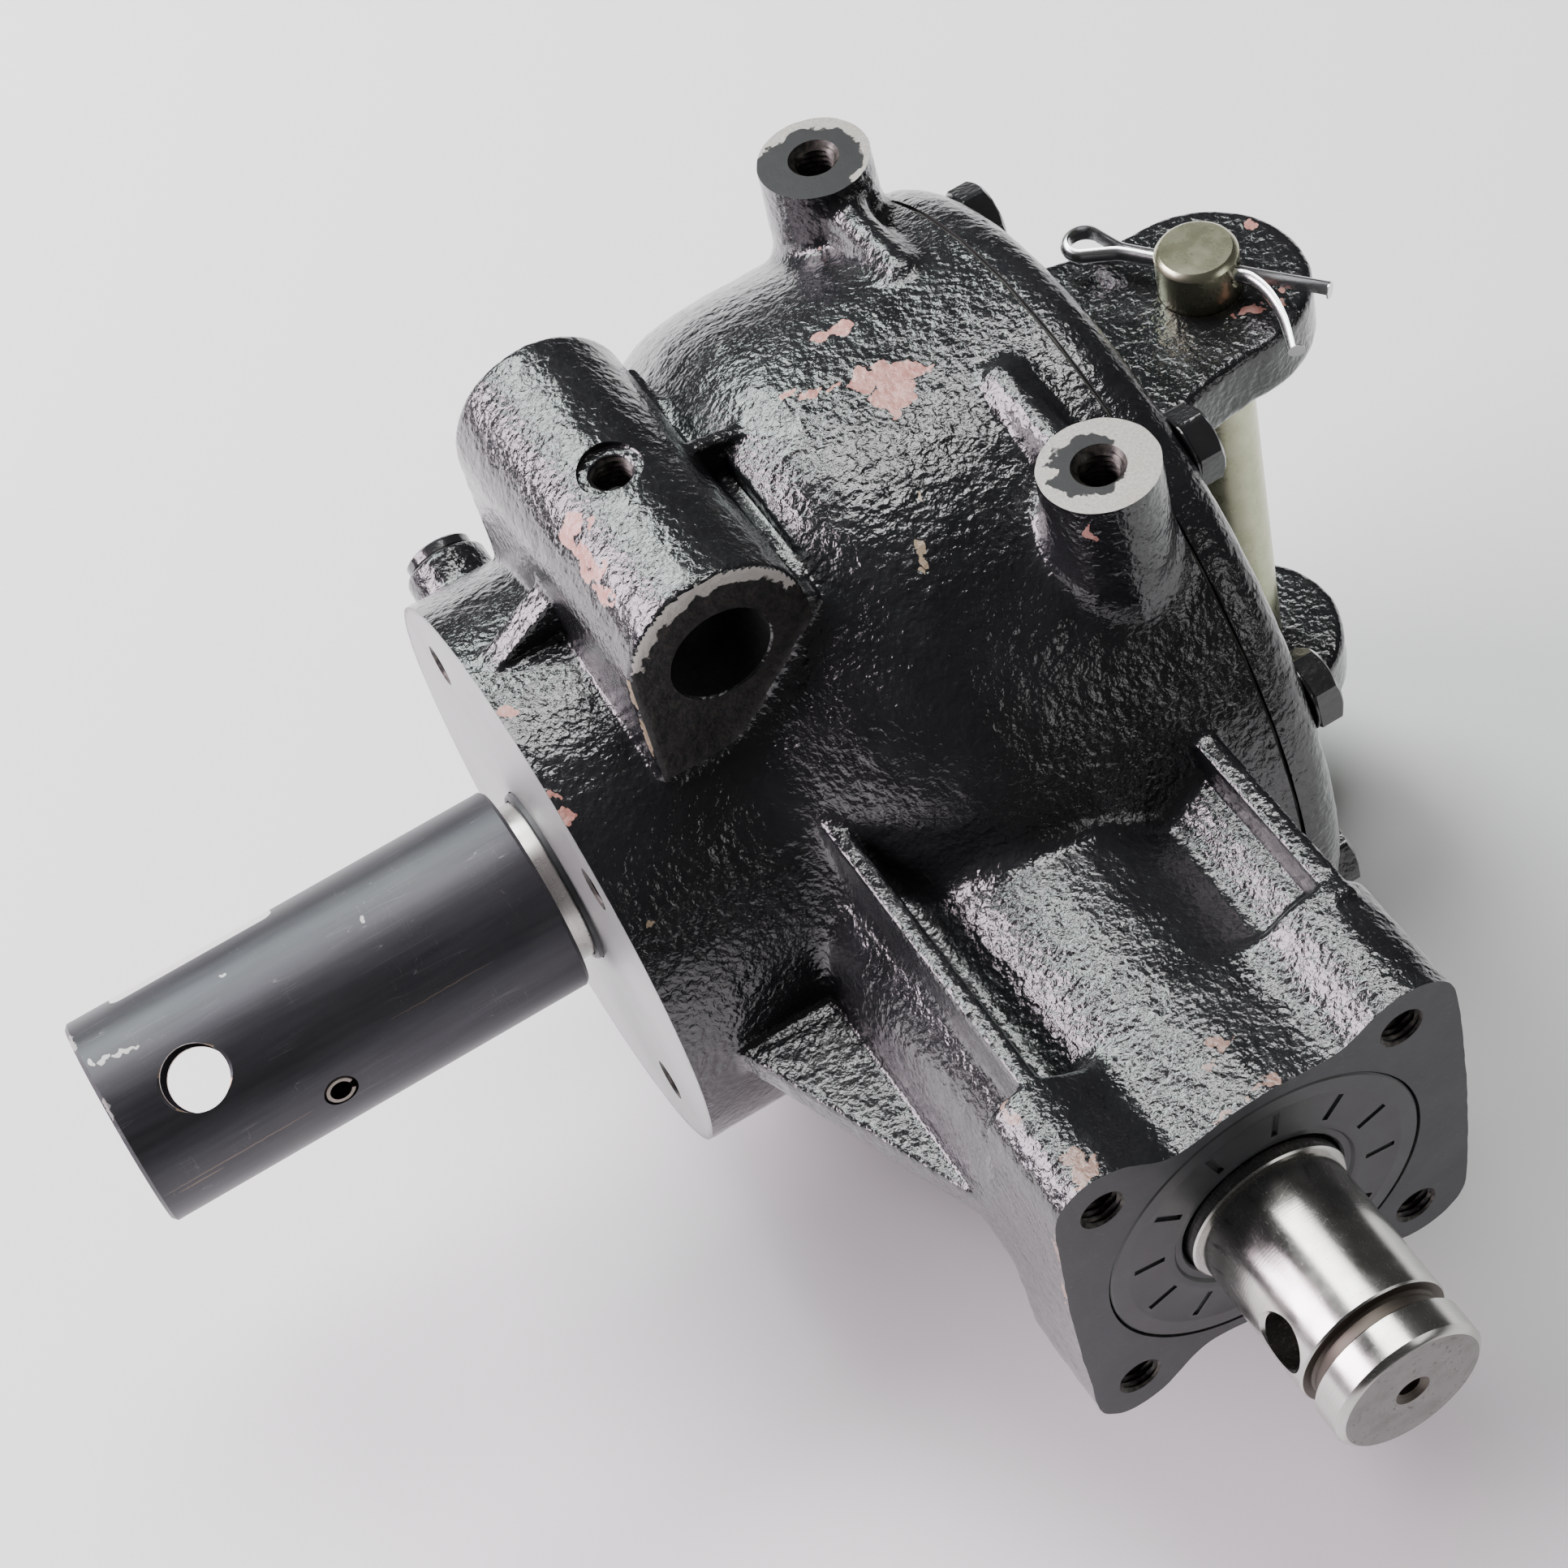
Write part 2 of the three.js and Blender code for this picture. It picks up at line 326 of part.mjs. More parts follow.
// ---------------------------------------------------------------- output shaft, sleeve and spring pin
{
  const roll = [0, -Math.sin(D.rollA * R), Math.cos(D.rollA * R)], hole = [0, -Math.sin(D.sleeveHoleA * R), Math.cos(D.sleeveHoleA * R)];
  const across = (x, d, r, seg) => bar([x, -40 * d[1], -40 * d[2]], [x, 40 * d[1], 40 * d[2]], r, seg);
  let s = revolve([[-158, 0], [-158, 18.8], [-156.8, D.outR], [-48.2, D.outR], [-48.2, 24], [-38, 24], [-34, 21], [11, 21], [13, 27.5], [19.7, 27.5], [19.7, 21],
    [44.3, 21], [44.3, 20.6], [45.6, 20.6], [45.6, 17.5], [61.8, 17.5], [63, 16.6], [63, 0]].map(([a, r]) => [a, r]), 'x', SOUT);
  s = cut(s, across(D.rollX, roll, 4.15, 12), box(20.5, 44, -4.1, 4.1, 17.2, 25));
  // cover-side end stays short of the cover wall
  s = s.subtract(box(60.9, 70, -30, 30, -30, 30));
  put('output_shaft', s, ...STEEL);
  let h = revolve([[D.sleeveX0, D.sleeveIn + 0.8], [D.sleeveX0, D.sleeveR - 0.9], [D.sleeveX0 + 0.9, D.sleeveR], [D.sleeveX1 - 0.9, D.sleeveR], [D.sleeveX1, D.sleeveR - 0.9], [D.sleeveX1, D.sleeveIn], [D.sleeveX0 + 0.8, D.sleeveIn]], 'x', SOUT, true);
  h = cut(h, across(D.sleeveHoleX, hole, D.sleeveHoleR, 20), across(D.rollX, roll, 4.15, 12));
  put('output_sleeve', h, ...BLACKOX);
  const ring = [...arc(0, 0, D.rollR, 25, 335, 16), ...arc(0, 0, D.rollR - 1.3, 335, 25, 16)];
  const g = new THREE.ExtrudeGeometry(new THREE.Shape(ring.map(([a, b]) => new THREE.Vector2(a, b))), { depth: 50.2, bevelEnabled: false });
  g.translate(0, 0, -25.1);
  const q = new THREE.Quaternion().setFromUnitVectors(new THREE.Vector3(0, 0, 1), new THREE.Vector3(...roll));
  put('sleeve_spring_pin', solid(g, new THREE.Matrix4().compose(new THREE.Vector3(D.rollX, 0, 0), q, new THREE.Vector3(1, 1, 1))), ...BLACKOX);
}

// ---------------------------------------------------------------- oil plugs
{
  const plug = (dir, r0) => {
    const pt = (r) => [-67, dir[0] * r, dir[1] * r];
    const q = new THREE.Quaternion().setFromUnitVectors(new THREE.Vector3(0, 0, 1), new THREE.Vector3(0, dir[0], dir[1]));
    const hexG = new THREE.CylinderGeometry(3.6, 3.6, 6, 6);
    hexG.rotateX(Math.PI / 2);
    const hex = solid(hexG, new THREE.Matrix4().compose(new THREE.Vector3(...pt(r0 + 1.6)), q, new THREE.Vector3(1, 1, 1)));
    return join(bar(pt(r0 - 12), pt(r0 + 0.3), 5.9, 20), bar(pt(r0 + 0.25), pt(r0 + 3.2), 8.4, 20)).subtract(hex);
  };
  put('fill_plug', plug([Math.cos(22 * R), Math.sin(22 * R)], 80.5), ...BRIGHT);
  put('drain_plug', plug([0, -1], 78), ...BRIGHT);
}

// ---------------------------------------------------------------- clevis pin and cotter pin
{
  const dir = [Math.cos(-54.8 * R), Math.sin(-54.8 * R)], zc = 76, r = 2.1;
  const P = (s, z = zc) => [D.pinX + dir[0] * s, dir[1] * s, z];
  let p = revolve([[-80.6, 0], [-80.6, 12.5], [-79.6, 13.5], [-73.2, 13.5], [-73.2, D.pinR], [80.5, D.pinR], [D.pinTop, 8.5], [D.pinTop, 0]], 'z', 24);
  p = at(p, D.pinX, 0, 0).subtract(bar(P(-14), P(14), 2.5, 12));
  put('clevis_pin', p, ...ZINC);
  // one looped wire: eye, double shank through the pin, one straight leg and one bent leg
  const eyeR = 4.6, ec = P(-27.5);
  const side = [-dir[1], dir[0]];
  const eye = [];
  for (let i = 0; i <= 10; i++) {
    const a = (38 + i * (322 - 38) / 10) * R;
    eye.push(new THREE.Vector3(ec[0] + eyeR * (Math.cos(a) * dir[0] + Math.sin(a) * side[0]), ec[1] + eyeR * (Math.cos(a) * dir[1] + Math.sin(a) * side[1]), zc));
  }
  const shp = new THREE.Shape(arc(0, 0, 1.55, 0, 300, 5).map(([a, b]) => new THREE.Vector2(a, b)));
  const loop = solid(new THREE.ExtrudeGeometry(shp, { steps: 11, bevelEnabled: false, extrudePath: new THREE.CatmullRomCurve3(eye) }));
  const neckA = bar([eye[0].x, eye[0].y, zc], P(-19), 1.55, 6, 1.9), neckB = bar([eye[10].x, eye[10].y, zc], P(-19), 1.55, 6, 1.9);
  const shank = bar(P(-19.4), P(10.5), r, 10);
  const legA = bar(P(9.8), P(30.5), 1.9, 6, 1.7);
  const bent = [P(9.4), [D.pinX + 7.6, -14, zc - 0.4], [D.pinX + 6.8, -22, zc - 1.4], [D.pinX + 3.6, -32.8, zc - 3.2]];
  const legs = bent.slice(1).map((b, i) => bar(bent[i], b, 1.8, 6));
  const knuckles = bent.slice(1, 3).map((b) => solid(new THREE.SphereGeometry(1.8, 6, 4), move(...b)));
  put('cotter_pin', join(loop, neckA, neckB, shank, legA, ...legs, ...knuckles), ...BRIGHT);
}

// ---------------------------------------------------------------- origin at the bottom centre of the whole part
{
  const b = new THREE.Box3();
  for (const m of gearbox.children) { m.geometry.computeBoundingBox(); b.union(m.geometry.boundingBox); }
  const c = b.getCenter(new THREE.Vector3());
  for (const m of gearbox.children) m.position.set(-c.x, -c.y, -b.min.z);
}

export default gearbox;
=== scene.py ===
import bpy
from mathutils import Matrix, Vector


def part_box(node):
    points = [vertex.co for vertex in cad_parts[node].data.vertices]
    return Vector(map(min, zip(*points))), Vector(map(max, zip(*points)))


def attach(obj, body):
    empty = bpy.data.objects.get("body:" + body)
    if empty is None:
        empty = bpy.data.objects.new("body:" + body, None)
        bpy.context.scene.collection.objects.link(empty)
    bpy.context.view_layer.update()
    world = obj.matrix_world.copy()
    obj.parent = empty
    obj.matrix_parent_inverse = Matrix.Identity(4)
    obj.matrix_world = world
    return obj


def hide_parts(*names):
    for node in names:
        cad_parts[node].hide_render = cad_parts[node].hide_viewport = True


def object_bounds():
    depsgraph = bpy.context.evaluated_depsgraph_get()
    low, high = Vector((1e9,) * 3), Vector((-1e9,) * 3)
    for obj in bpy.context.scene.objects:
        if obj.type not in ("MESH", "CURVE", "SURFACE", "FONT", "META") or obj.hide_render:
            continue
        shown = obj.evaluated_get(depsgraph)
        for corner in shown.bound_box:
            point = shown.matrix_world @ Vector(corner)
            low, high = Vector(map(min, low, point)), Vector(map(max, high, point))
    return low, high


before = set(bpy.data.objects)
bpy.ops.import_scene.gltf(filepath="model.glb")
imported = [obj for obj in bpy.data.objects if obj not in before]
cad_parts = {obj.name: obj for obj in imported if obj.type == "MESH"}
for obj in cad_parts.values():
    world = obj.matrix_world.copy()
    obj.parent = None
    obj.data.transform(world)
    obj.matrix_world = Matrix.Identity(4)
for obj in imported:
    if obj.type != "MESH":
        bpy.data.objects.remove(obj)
cad_box = [list(v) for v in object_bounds()]

import math
import bpy
import bmesh
import numpy as np
import openvdb as vdb
from mathutils import Matrix, Vector

VOX = 0.8            # mm, grid the castings are shaped on

# the crossing of the two shaft axes, in mm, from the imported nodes
def mid(node, i):
    lo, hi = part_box(node)
    return (lo[i] + hi[i]) / 2
ORIGIN = np.array([mid("input_bearing_outer_cup", 0), mid("output_bearing_hub_cup", 1), mid("output_bearing_hub_cup", 2)])
CAD_LO, CAD_HI = np.array(cad_box[0]), np.array(cad_box[1])
R = math.radians
BOLTS = [30, 69, 110, 150, -150, -110, -69, -30]

# ------------------------------------------------------------------ noise, seeded by position only
def _hash(ix, iy, iz, seed):
    h = (ix.astype(np.uint32) * np.uint32(374761393) + iy.astype(np.uint32) * np.uint32(668265263)
         + iz.astype(np.uint32) * np.uint32(2147483647 ^ 0x5bd1e995) + np.uint32(seed * 974711))
    h = (h ^ (h >> np.uint32(13))) * np.uint32(1274126177)
    h = h ^ (h >> np.uint32(16))
    return (h & np.uint32(0xffff)).astype(np.float32) / 32767.5 - 1.0

def vnoise(p, scale, seed=1):
    """smooth value noise in -1..1 at points p (n x 3, mm) with features about scale mm apart"""
    q = p / scale
    i = np.floor(q).astype(np.int64)
    f = (q - i).astype(np.float32)
    f = f * f * f * (f * (f * 6 - 15) + 10)
    out = 0
    for dx in (0, 1):
        for dy in (0, 1):
            for dz in (0, 1):
                w = (f[:, 0] if dx else 1 - f[:, 0]) * (f[:, 1] if dy else 1 - f[:, 1]) * (f[:, 2] if dz else 1 - f[:, 2])
                out = out + w * _hash(i[:, 0] + dx, i[:, 1] + dy, i[:, 2] + dz, seed)
    return out

# ------------------------------------------------------------------ signed distance modelling for the castings
def poly_sdf(poly, X, Y):
    """signed distance to a closed 2D polygon, negative inside"""
    poly = np.asarray(poly, np.float32)
    d = np.full(X.shape, 1e9, np.float32)
    inside = np.zeros(X.shape, bool)
    n = len(poly)
    for k in range(n):
        a, b = poly[k], poly[(k + 1) % n]
        e = b - a
        L2 = float(e @ e)
        if L2 < 1e-12:
            continue
        wx, wy = X - a[0], Y - a[1]
        t = np.clip((wx * e[0] + wy * e[1]) / L2, 0, 1)
        d = np.minimum(d, (wx - e[0] * t) ** 2 + (wy - e[1] * t) ** 2)
        c = (a[1] > Y) != (b[1] > Y)
        if abs(e[1]) > 1e-9:
            inside ^= c & (X < e[0] * (Y - a[1]) / e[1] + a[0])
    d = np.sqrt(d)
    return np.where(inside, -d, d)

class Field:
    def __init__(self, lo, hi, h=VOX):
        self.h = h
        self.lo = np.array(lo, np.float32)
        self.n = np.ceil((np.array(hi) - np.array(lo)) / h).astype(int) + 1
        self.d = np.full(self.n, 12.0, np.float32)
        self.ax = [self.lo[i] + h * np.arange(self.n[i], dtype=np.float32) for i in range(3)]

    def _win(self, lo, hi, m):
        s = []
        for i in range(3):
            a = int(max(0, math.floor((lo[i] - m - self.lo[i]) / self.h)))
            b = int(min(self.n[i], math.ceil((hi[i] + m - self.lo[i]) / self.h) + 1))
            s.append(slice(a, max(a, b)))
        x = self.ax[0][s[0]][:, None, None]
        y = self.ax[1][s[1]][None, :, None]
        z = self.ax[2][s[2]][None, None, :]
        return tuple(s), x, y, z

    def add(self, fn, lo, hi, k=4.0):
        s, x, y, z = self._win(lo, hi, k + 4)
        a, b = self.d[s], fn(x, y, z).astype(np.float32)
        if k <= 0:
            self.d[s] = np.minimum(a, b)
            return
        h = np.clip(0.5 + 0.5 * (a - b) / k, 0, 1)
        self.d[s] = a + (b - a) * h - k * h * (1 - h)

    def cut(self, fn, lo, hi, k=0.0):
        s, x, y, z = self._win(lo, hi, k + 2)
        a, b = self.d[s], -fn(x, y, z).astype(np.float32)
        if k <= 0:
            self.d[s] = np.maximum(a, b)
            return
        h = np.clip(0.5 + 0.5 * (b - a) / k, 0, 1)
        self.d[s] = a + (b - a) * h + k * h * (1 - h)

    def mesh(self):
        g = vdb.FloatGrid(background=3.0)
        g.copyFromArray(np.ascontiguousarray(np.clip(self.d, -3, 3)))
        pts, quads = g.convertToQuads(0.0)
        return pts * self.h + self.lo, quads[:, ::-1]

def revolved(profile, flip=False):
    """distance function of a profile [(x, r)] turned about the X axis, from a fine 2D table"""
    prof = [tuple(p) for p in profile]
    poly = prof + [(x, -r) for x, r in reversed(prof)]
    P = np.array(poly)
    x0, x1, r1 = P[:, 0].min() - 12, P[:, 0].max() + 12, P[:, 1].max() + 14
    st = 0.5
    gx = np.arange(x0, x1 + st, st, dtype=np.float32)
    gr = np.arange(0, r1 + st, st, dtype=np.float32)
    T = poly_sdf(poly, gx[:, None] + 0 * gr[None, :], gr[None, :] + 0 * gx[:, None])
    def fn(x, y, z):
        rr = np.sqrt(y * y + z * z)
        r = np.clip(rr / st, 0, len(gr) - 1.001)
        u = np.clip((x - x0) / st, 0, len(gx) - 1.001)
        u, r = np.broadcast_arrays(u, r)
        iu, ir = u.astype(np.int32), r.astype(np.int32)
        fu, fr = u - iu, r - ir
        out = (T[iu, ir] * (1 - fu) * (1 - fr) + T[iu + 1, ir] * fu * (1 - fr) + T[iu, ir + 1] * (1 - fu) * fr + T[iu + 1, ir + 1] * fu * fr)
        return out + np.maximum(rr - (r1 + 0 * rr), 0)
    return fn

def prism(poly, plane, a, b, rnd=1.5):
    """rounded prism: outline in plane 'xz' (along Y), 'xy' (along Z) or 'yz' (along X)"""
    def fn(x, y, z):
        if plane == "xz":
            d2, t = poly_sdf(poly, x + 0 * z, z + 0 * x), y
        elif plane == "xy":
            d2, t = poly_sdf(poly, x + 0 * y, y + 0 * x), z
        else:
            d2, t = poly_sdf(poly, y + 0 * z, z + 0 * y), x
        dt = np.abs(t - (a + b) / 2) - (b - a) / 2
        q1, q2 = d2 + rnd, dt + rnd
        return np.minimum(np.maximum(q1, q2), 0) + np.sqrt(np.maximum(q1, 0) ** 2 + np.maximum(q2, 0) ** 2) - rnd
    return fn

def stick(p, q, r0, r1=None, rnd=1.0):
    """rounded cylinder or cone from p to q"""
    p, q = np.array(p, float), np.array(q, float)
    d = q - p
    L = float(np.linalg.norm(d))
    d = d / L
    r1 = r0 if r1 is None else r1
    def fn(x, y, z):
        wx, wy, wz = x - p[0], y - p[1], z - p[2]
        t = wx * d[0] + wy * d[1] + wz * d[2]
        rad = np.sqrt(np.maximum(wx * wx + wy * wy + wz * wz - t * t, 0))
        rr = r0 + (r1 - r0) * np.clip(t / L, 0, 1)
        q1, q2 = rad - rr + rnd, np.abs(t - L / 2) - L / 2 + rnd
        return np.minimum(np.maximum(q1, q2), 0) + np.sqrt(np.maximum(q1, 0) ** 2 + np.maximum(q2, 0) ** 2) - rnd
    return fn

def catmull(pts, n=6, closed=False):
    pts = [np.array(p, float) for p in pts]
    out = []
    m = len(pts)
    rng = range(m) if closed else range(m - 1)
    for i in rng:
        p0 = pts[(i - 1) % m] if closed or i > 0 else pts[i]
        p1, p2 = pts[i], pts[(i + 1) % m]
        p3 = pts[(i + 2) % m] if closed or i + 2 < m else pts[(i + 1) % m]
        for j in range(n):
            t = j / n
            out.append(0.5 * ((2 * p1) + (-p0 + p2) * t + (2 * p0 - 5 * p1 + 4 * p2 - p3) * t * t + (-p0 + 3 * p1 - 3 * p2 + p3) * t ** 3))
    if not closed:
        out.append(pts[-1])
    return [tuple(o) for o in out]

def arc(cx, cy, r, a0, a1, n):
    return [(cx + r * math.cos(R(a0 + (a1 - a0) * i / n)), cy + r * math.sin(R(a0 + (a1 - a0) * i / n))) for i in range(n + 1)]

# ------------------------------------------------------------------ mesh helpers (all inputs in mm about the axes' crossing)
def to_world(v):
    return np.asarray(v, np.float64) / 1000.0 + ORIGIN

def new_mesh(name, verts, faces, smooth=True, world=False):
    me = bpy.data.meshes.new(name)
    v = np.asarray(verts, np.float64) if world else to_world(verts)
    if isinstance(faces, np.ndarray) and faces.ndim == 2:
        k = faces.shape[1]
        me.vertices.add(len(v))
        me.vertices.foreach_set("co", v.astype(np.float32).ravel())
        me.loops.add(faces.size)
        me.loops.foreach_set("vertex_index", faces.astype(np.int32).ravel())
        me.polygons.add(len(faces))
        me.polygons.foreach_set("loop_start", np.arange(0, faces.size, k, dtype=np.int32))
        me.update(calc_edges=True)
    else:
        me.from_pydata([tuple(p) for p in v], [], [tuple(int(i) for i in f) for f in faces])
    me.validate()
    ob = bpy.data.objects.new(name, me)
    bpy.context.scene.collection.objects.link(ob)
    if smooth:
        me.polygons.foreach_set("use_smooth", [True] * len(me.polygons))
    me.update()
    return ob

def fix_normals(ob):
    bm = bmesh.new()
    bm.from_mesh(ob.data)
    bmesh.ops.remove_doubles(bm, verts=bm.verts, dist=2e-6)
    bmesh.ops.recalc_face_normals(bm, faces=bm.faces)
    if bm.calc_volume(signed=True) < 0:
        bmesh.ops.reverse_faces(bm, faces=bm.faces)
    bm.to_mesh(ob.data)
    bm.free()
    return ob

def turned(name, profile, axis, seg=128, closed=False, centre=(0, 0, 0)):
    """a closed turned solid from [(axial, radius)]; r 0 ends collapse to one point"""
    P = list(profile)
    verts, rings = [], []
    ang = np.arange(seg) * 2 * math.pi / seg
    for a, r in P:
        if r < 1e-6:
            rings.append([len(verts)])
            verts.append((a, 0, 0))
        else:
            rings.append(list(range(len(verts), len(verts) + seg)))
            verts += [(a, r * math.cos(t), r * math.sin(t)) for t in ang]
    faces = []
    pairs = list(zip(rings, rings[1:])) + ([(rings[-1], rings[0])] if closed else [])
    for A, B in pairs:
        for i in range(seg):
            j = (i + 1) % seg
            if len(A) == 1 and len(B) == 1:
                continue
            if len(A) == 1:
                faces.append((A[0], B[i], B[j]))
            elif len(B) == 1:
                faces.append((A[i], B[0], A[j]))
            else:
                faces.append((A[i], B[i], B[j], A[j]))
    v = np.array(verts)
    if axis == "x":
        v = v[:, [0, 1, 2]]
    elif axis == "y":
        v = np.stack([v[:, 2], v[:, 0], v[:, 1]], 1)
    else:
        v = np.stack([v[:, 1], v[:, 2], v[:, 0]], 1)
    ob = new_mesh(name, v + np.array(centre), faces)
    return fix_normals(ob)

def along(name, p, q, profile, seg=64):
    """turned solid along p to q with profile [(distance from p, radius)]"""
    ob = turned(name, profile, "z", seg)
    p, q = Vector(p) / 1000, Vector(q) / 1000
    rot = Vector((0, 0, 1)).rotation_difference((q - p).normalized()).to_matrix().to_4x4()
    o = Vector(ORIGIN)
    ob.data.transform(Matrix.Translation(o + p) @ rot @ Matrix.Translation(-o))
    return ob

def hole(p, q, r, seg=48):
    L = float(np.linalg.norm(np.array(q) - np.array(p)))
    return along("cutter", p, q, [(0, 0), (0, r), (L, r), (L, 0)], seg)

def threaded(p, q, r_minor, depth, pitch, seg=40, per=6, mouth=None):
    """cutter for a tapped hole: its wall carries a helical thread; mouth = (depth, radius) of the countersink at q"""
    L = float(np.linalg.norm(np.array(q) - np.array(p)))
    n = int(L / pitch * per)
    verts, faces = [], []
    for j in range(n + 1):
        z = L * j / n
        for i in range(seg):
            t = 2 * math.pi * i / seg
            ph = (z / pitch - i / seg) % 1.0
            r = r_minor + depth * (1 - abs(2 * ph - 1)) ** 1.0
            if mouth and z > L - mouth[0]:
                r = max(r, r_minor + (mouth[1] - r_minor) * (z - (L - mouth[0])) / mouth[0])
            verts.append((r * math.cos(t), r * math.sin(t), z))
    for j in range(n):
        for i in range(seg):
            k = (i + 1) % seg
            faces.append((j * seg + i, j * seg + k, (j + 1) * seg + k, (j + 1) * seg + i))
    a, b = len(verts), len(verts) + 1
    verts += [(0, 0, 0), (0, 0, L)]
    for i in range(seg):
        k = (i + 1) % seg
        faces.append((a, k, i))
        faces.append((b, n * seg + i, n * seg + k))
    ob = fix_normals(new_mesh("cutter", verts, faces))
    p, q = Vector(p) / 1000, Vector(q) / 1000
    rot = Vector((0, 0, 1)).rotation_difference((q - p).normalized()).to_matrix().to_4x4()
    o = Vector(ORIGIN)
    ob.data.transform(Matrix.Translation(o + p) @ rot @ Matrix.Translation(-o))
    return ob

def block(x0, x1, y0, y1, z0, z1):
    v = [(x, y, z) for x in (x0, x1) for y in (y0, y1) for z in (z0, z1)]
    f = [(0, 1, 3, 2), (4, 6, 7, 5), (0, 4, 5, 1), (2, 3, 7, 6), (0, 2, 6, 4), (1, 5, 7, 3)]
    return fix_normals(new_mesh("cutter", v, f, smooth=False))

def boolean(ob, tools, op="DIFFERENCE"):
    """applies boolean operations, one tool at a time, and removes the tools"""
    for t in tools:
        m = ob.modifiers.new("b", "BOOLEAN")
        m.operation = op
        m.object = t
        m.solver = "MANIFOLD"
        dg = bpy.context.evaluated_depsgraph_get()
        ev = ob.evaluated_get(dg)
        me = bpy.data.meshes.new_from_object(ev)
        if len(me.polygons) == 0 or len(me.polygons) == len(ob.data.polygons):
            m.solver = "EXACT"
            dg = bpy.context.evaluated_depsgraph_get()
            me = bpy.data.meshes.new_from_object(ob.evaluated_get(dg))
        ob.modifiers.clear()
        old = ob.data
        ob.data = me
        bpy.data.meshes.remove(old)
        bpy.data.objects.remove(t)
    return ob

def sharpen(ob, deg=35):
    """smooth shading with edges sharper than deg left crisp"""
    me = ob.data
    me.polygons.foreach_set("use_smooth", [True] * len(me.polygons))
    bm = bmesh.new()
    bm.from_mesh(me)
    lim = R(deg)
    for e in bm.edges:
        if len(e.link_faces) == 2:
            e.smooth = e.calc_face_angle(0) < lim
    bm.to_mesh(me)
    bm.free()
    return ob

def hexagon(name, af, h, chamfer, centre, axis_vec, turn=0.0, rim=0.35):
    """hexagon bolt head with chamfered crown and softened edges, base at centre, along axis_vec"""
    ob_bm = bmesh.new()
    rc = af / 2 / math.cos(math.pi / 6)
    # rings of a 48-gon hexagon whose height follows the cone chamfer
    seg = 72
    rows = []
    def hexr(t):
        t = (t - turn) % (math.pi / 3) - math.pi / 6
        return af / 2 / math.cos(t)
    layers = [(0.0, 1.0, -rim), (rim, 1.0, 0.0)]
    for z, s, dr in layers:
        rows.append([ob_bm.verts.new(((hexr(2 * math.pi * i / seg) * s + dr) * math.cos(2 * math.pi * i / seg), (hexr(2 * math.pi * i / seg) * s + dr) * math.sin(2 * math.pi * i / seg), z)) for i in range(seg)])
    top_r = af / 2 * 0.95
    row = []
    for i in range(seg):
        t = 2 * math.pi * i / seg
        r = hexr(t)
        z = h - max(0.0, (r - top_r)) * math.tan(R(30))
        row.append(ob_bm.verts.new((r * math.cos(t), r * math.sin(t), z - 0.25)))
    rows.append(row)
    rows.append([ob_bm.verts.new((min(hexr(2 * math.pi * i / seg) - 0.35, top_r + 0.2) * math.cos(2 * math.pi * i / seg), min(hexr(2 * math.pi * i / seg) - 0.35, top_r + 0.2) * math.sin(2 * math.pi * i / seg), h - 0.12)) for i in range(seg)])
    rows.append([ob_bm.verts.new(((top_r - 0.6) * math.cos(2 * math.pi * i / seg), (top_r - 0.6) * math.sin(2 * math.pi * i / seg), h)) for i in range(seg)])
    for A, B in zip(rows, rows[1:]):
        for i in range(seg):
            j = (i + 1) % seg
            ob_bm.faces.new((A[i], A[j], B[j], B[i]))
    ob_bm.faces.new(list(reversed(rows[0])))
    ob_bm.faces.new(rows[-1])
    me = bpy.data.meshes.new(name)
    ob_bm.to_mesh(me)
    ob_bm.free()
    rot = Vector((0, 0, 1)).rotation_difference(Vector(axis_vec)).to_matrix().to_4x4()
    me.transform(Matrix.Translation(Vector(ORIGIN) + Vector(centre) / 1000) @ rot @ Matrix.Scale(0.001, 4))
    ob = bpy.data.objects.new(name, me)
    bpy.context.scene.collection.objects.link(ob)
    fix_normals(ob)
    return ob

def joined(name, obs):
    """one object from several closed shells"""
    bm = bmesh.new()
    for o in obs:
        bm.from_mesh(o.data)
    me = bpy.data.meshes.new(name)
    bm.to_mesh(me)
    bm.free()
    for o in obs:
        bpy.data.objects.remove(o)
    ob = bpy.data.objects.new(name, me)
    bpy.context.scene.collection.objects.link(ob)
    return ob

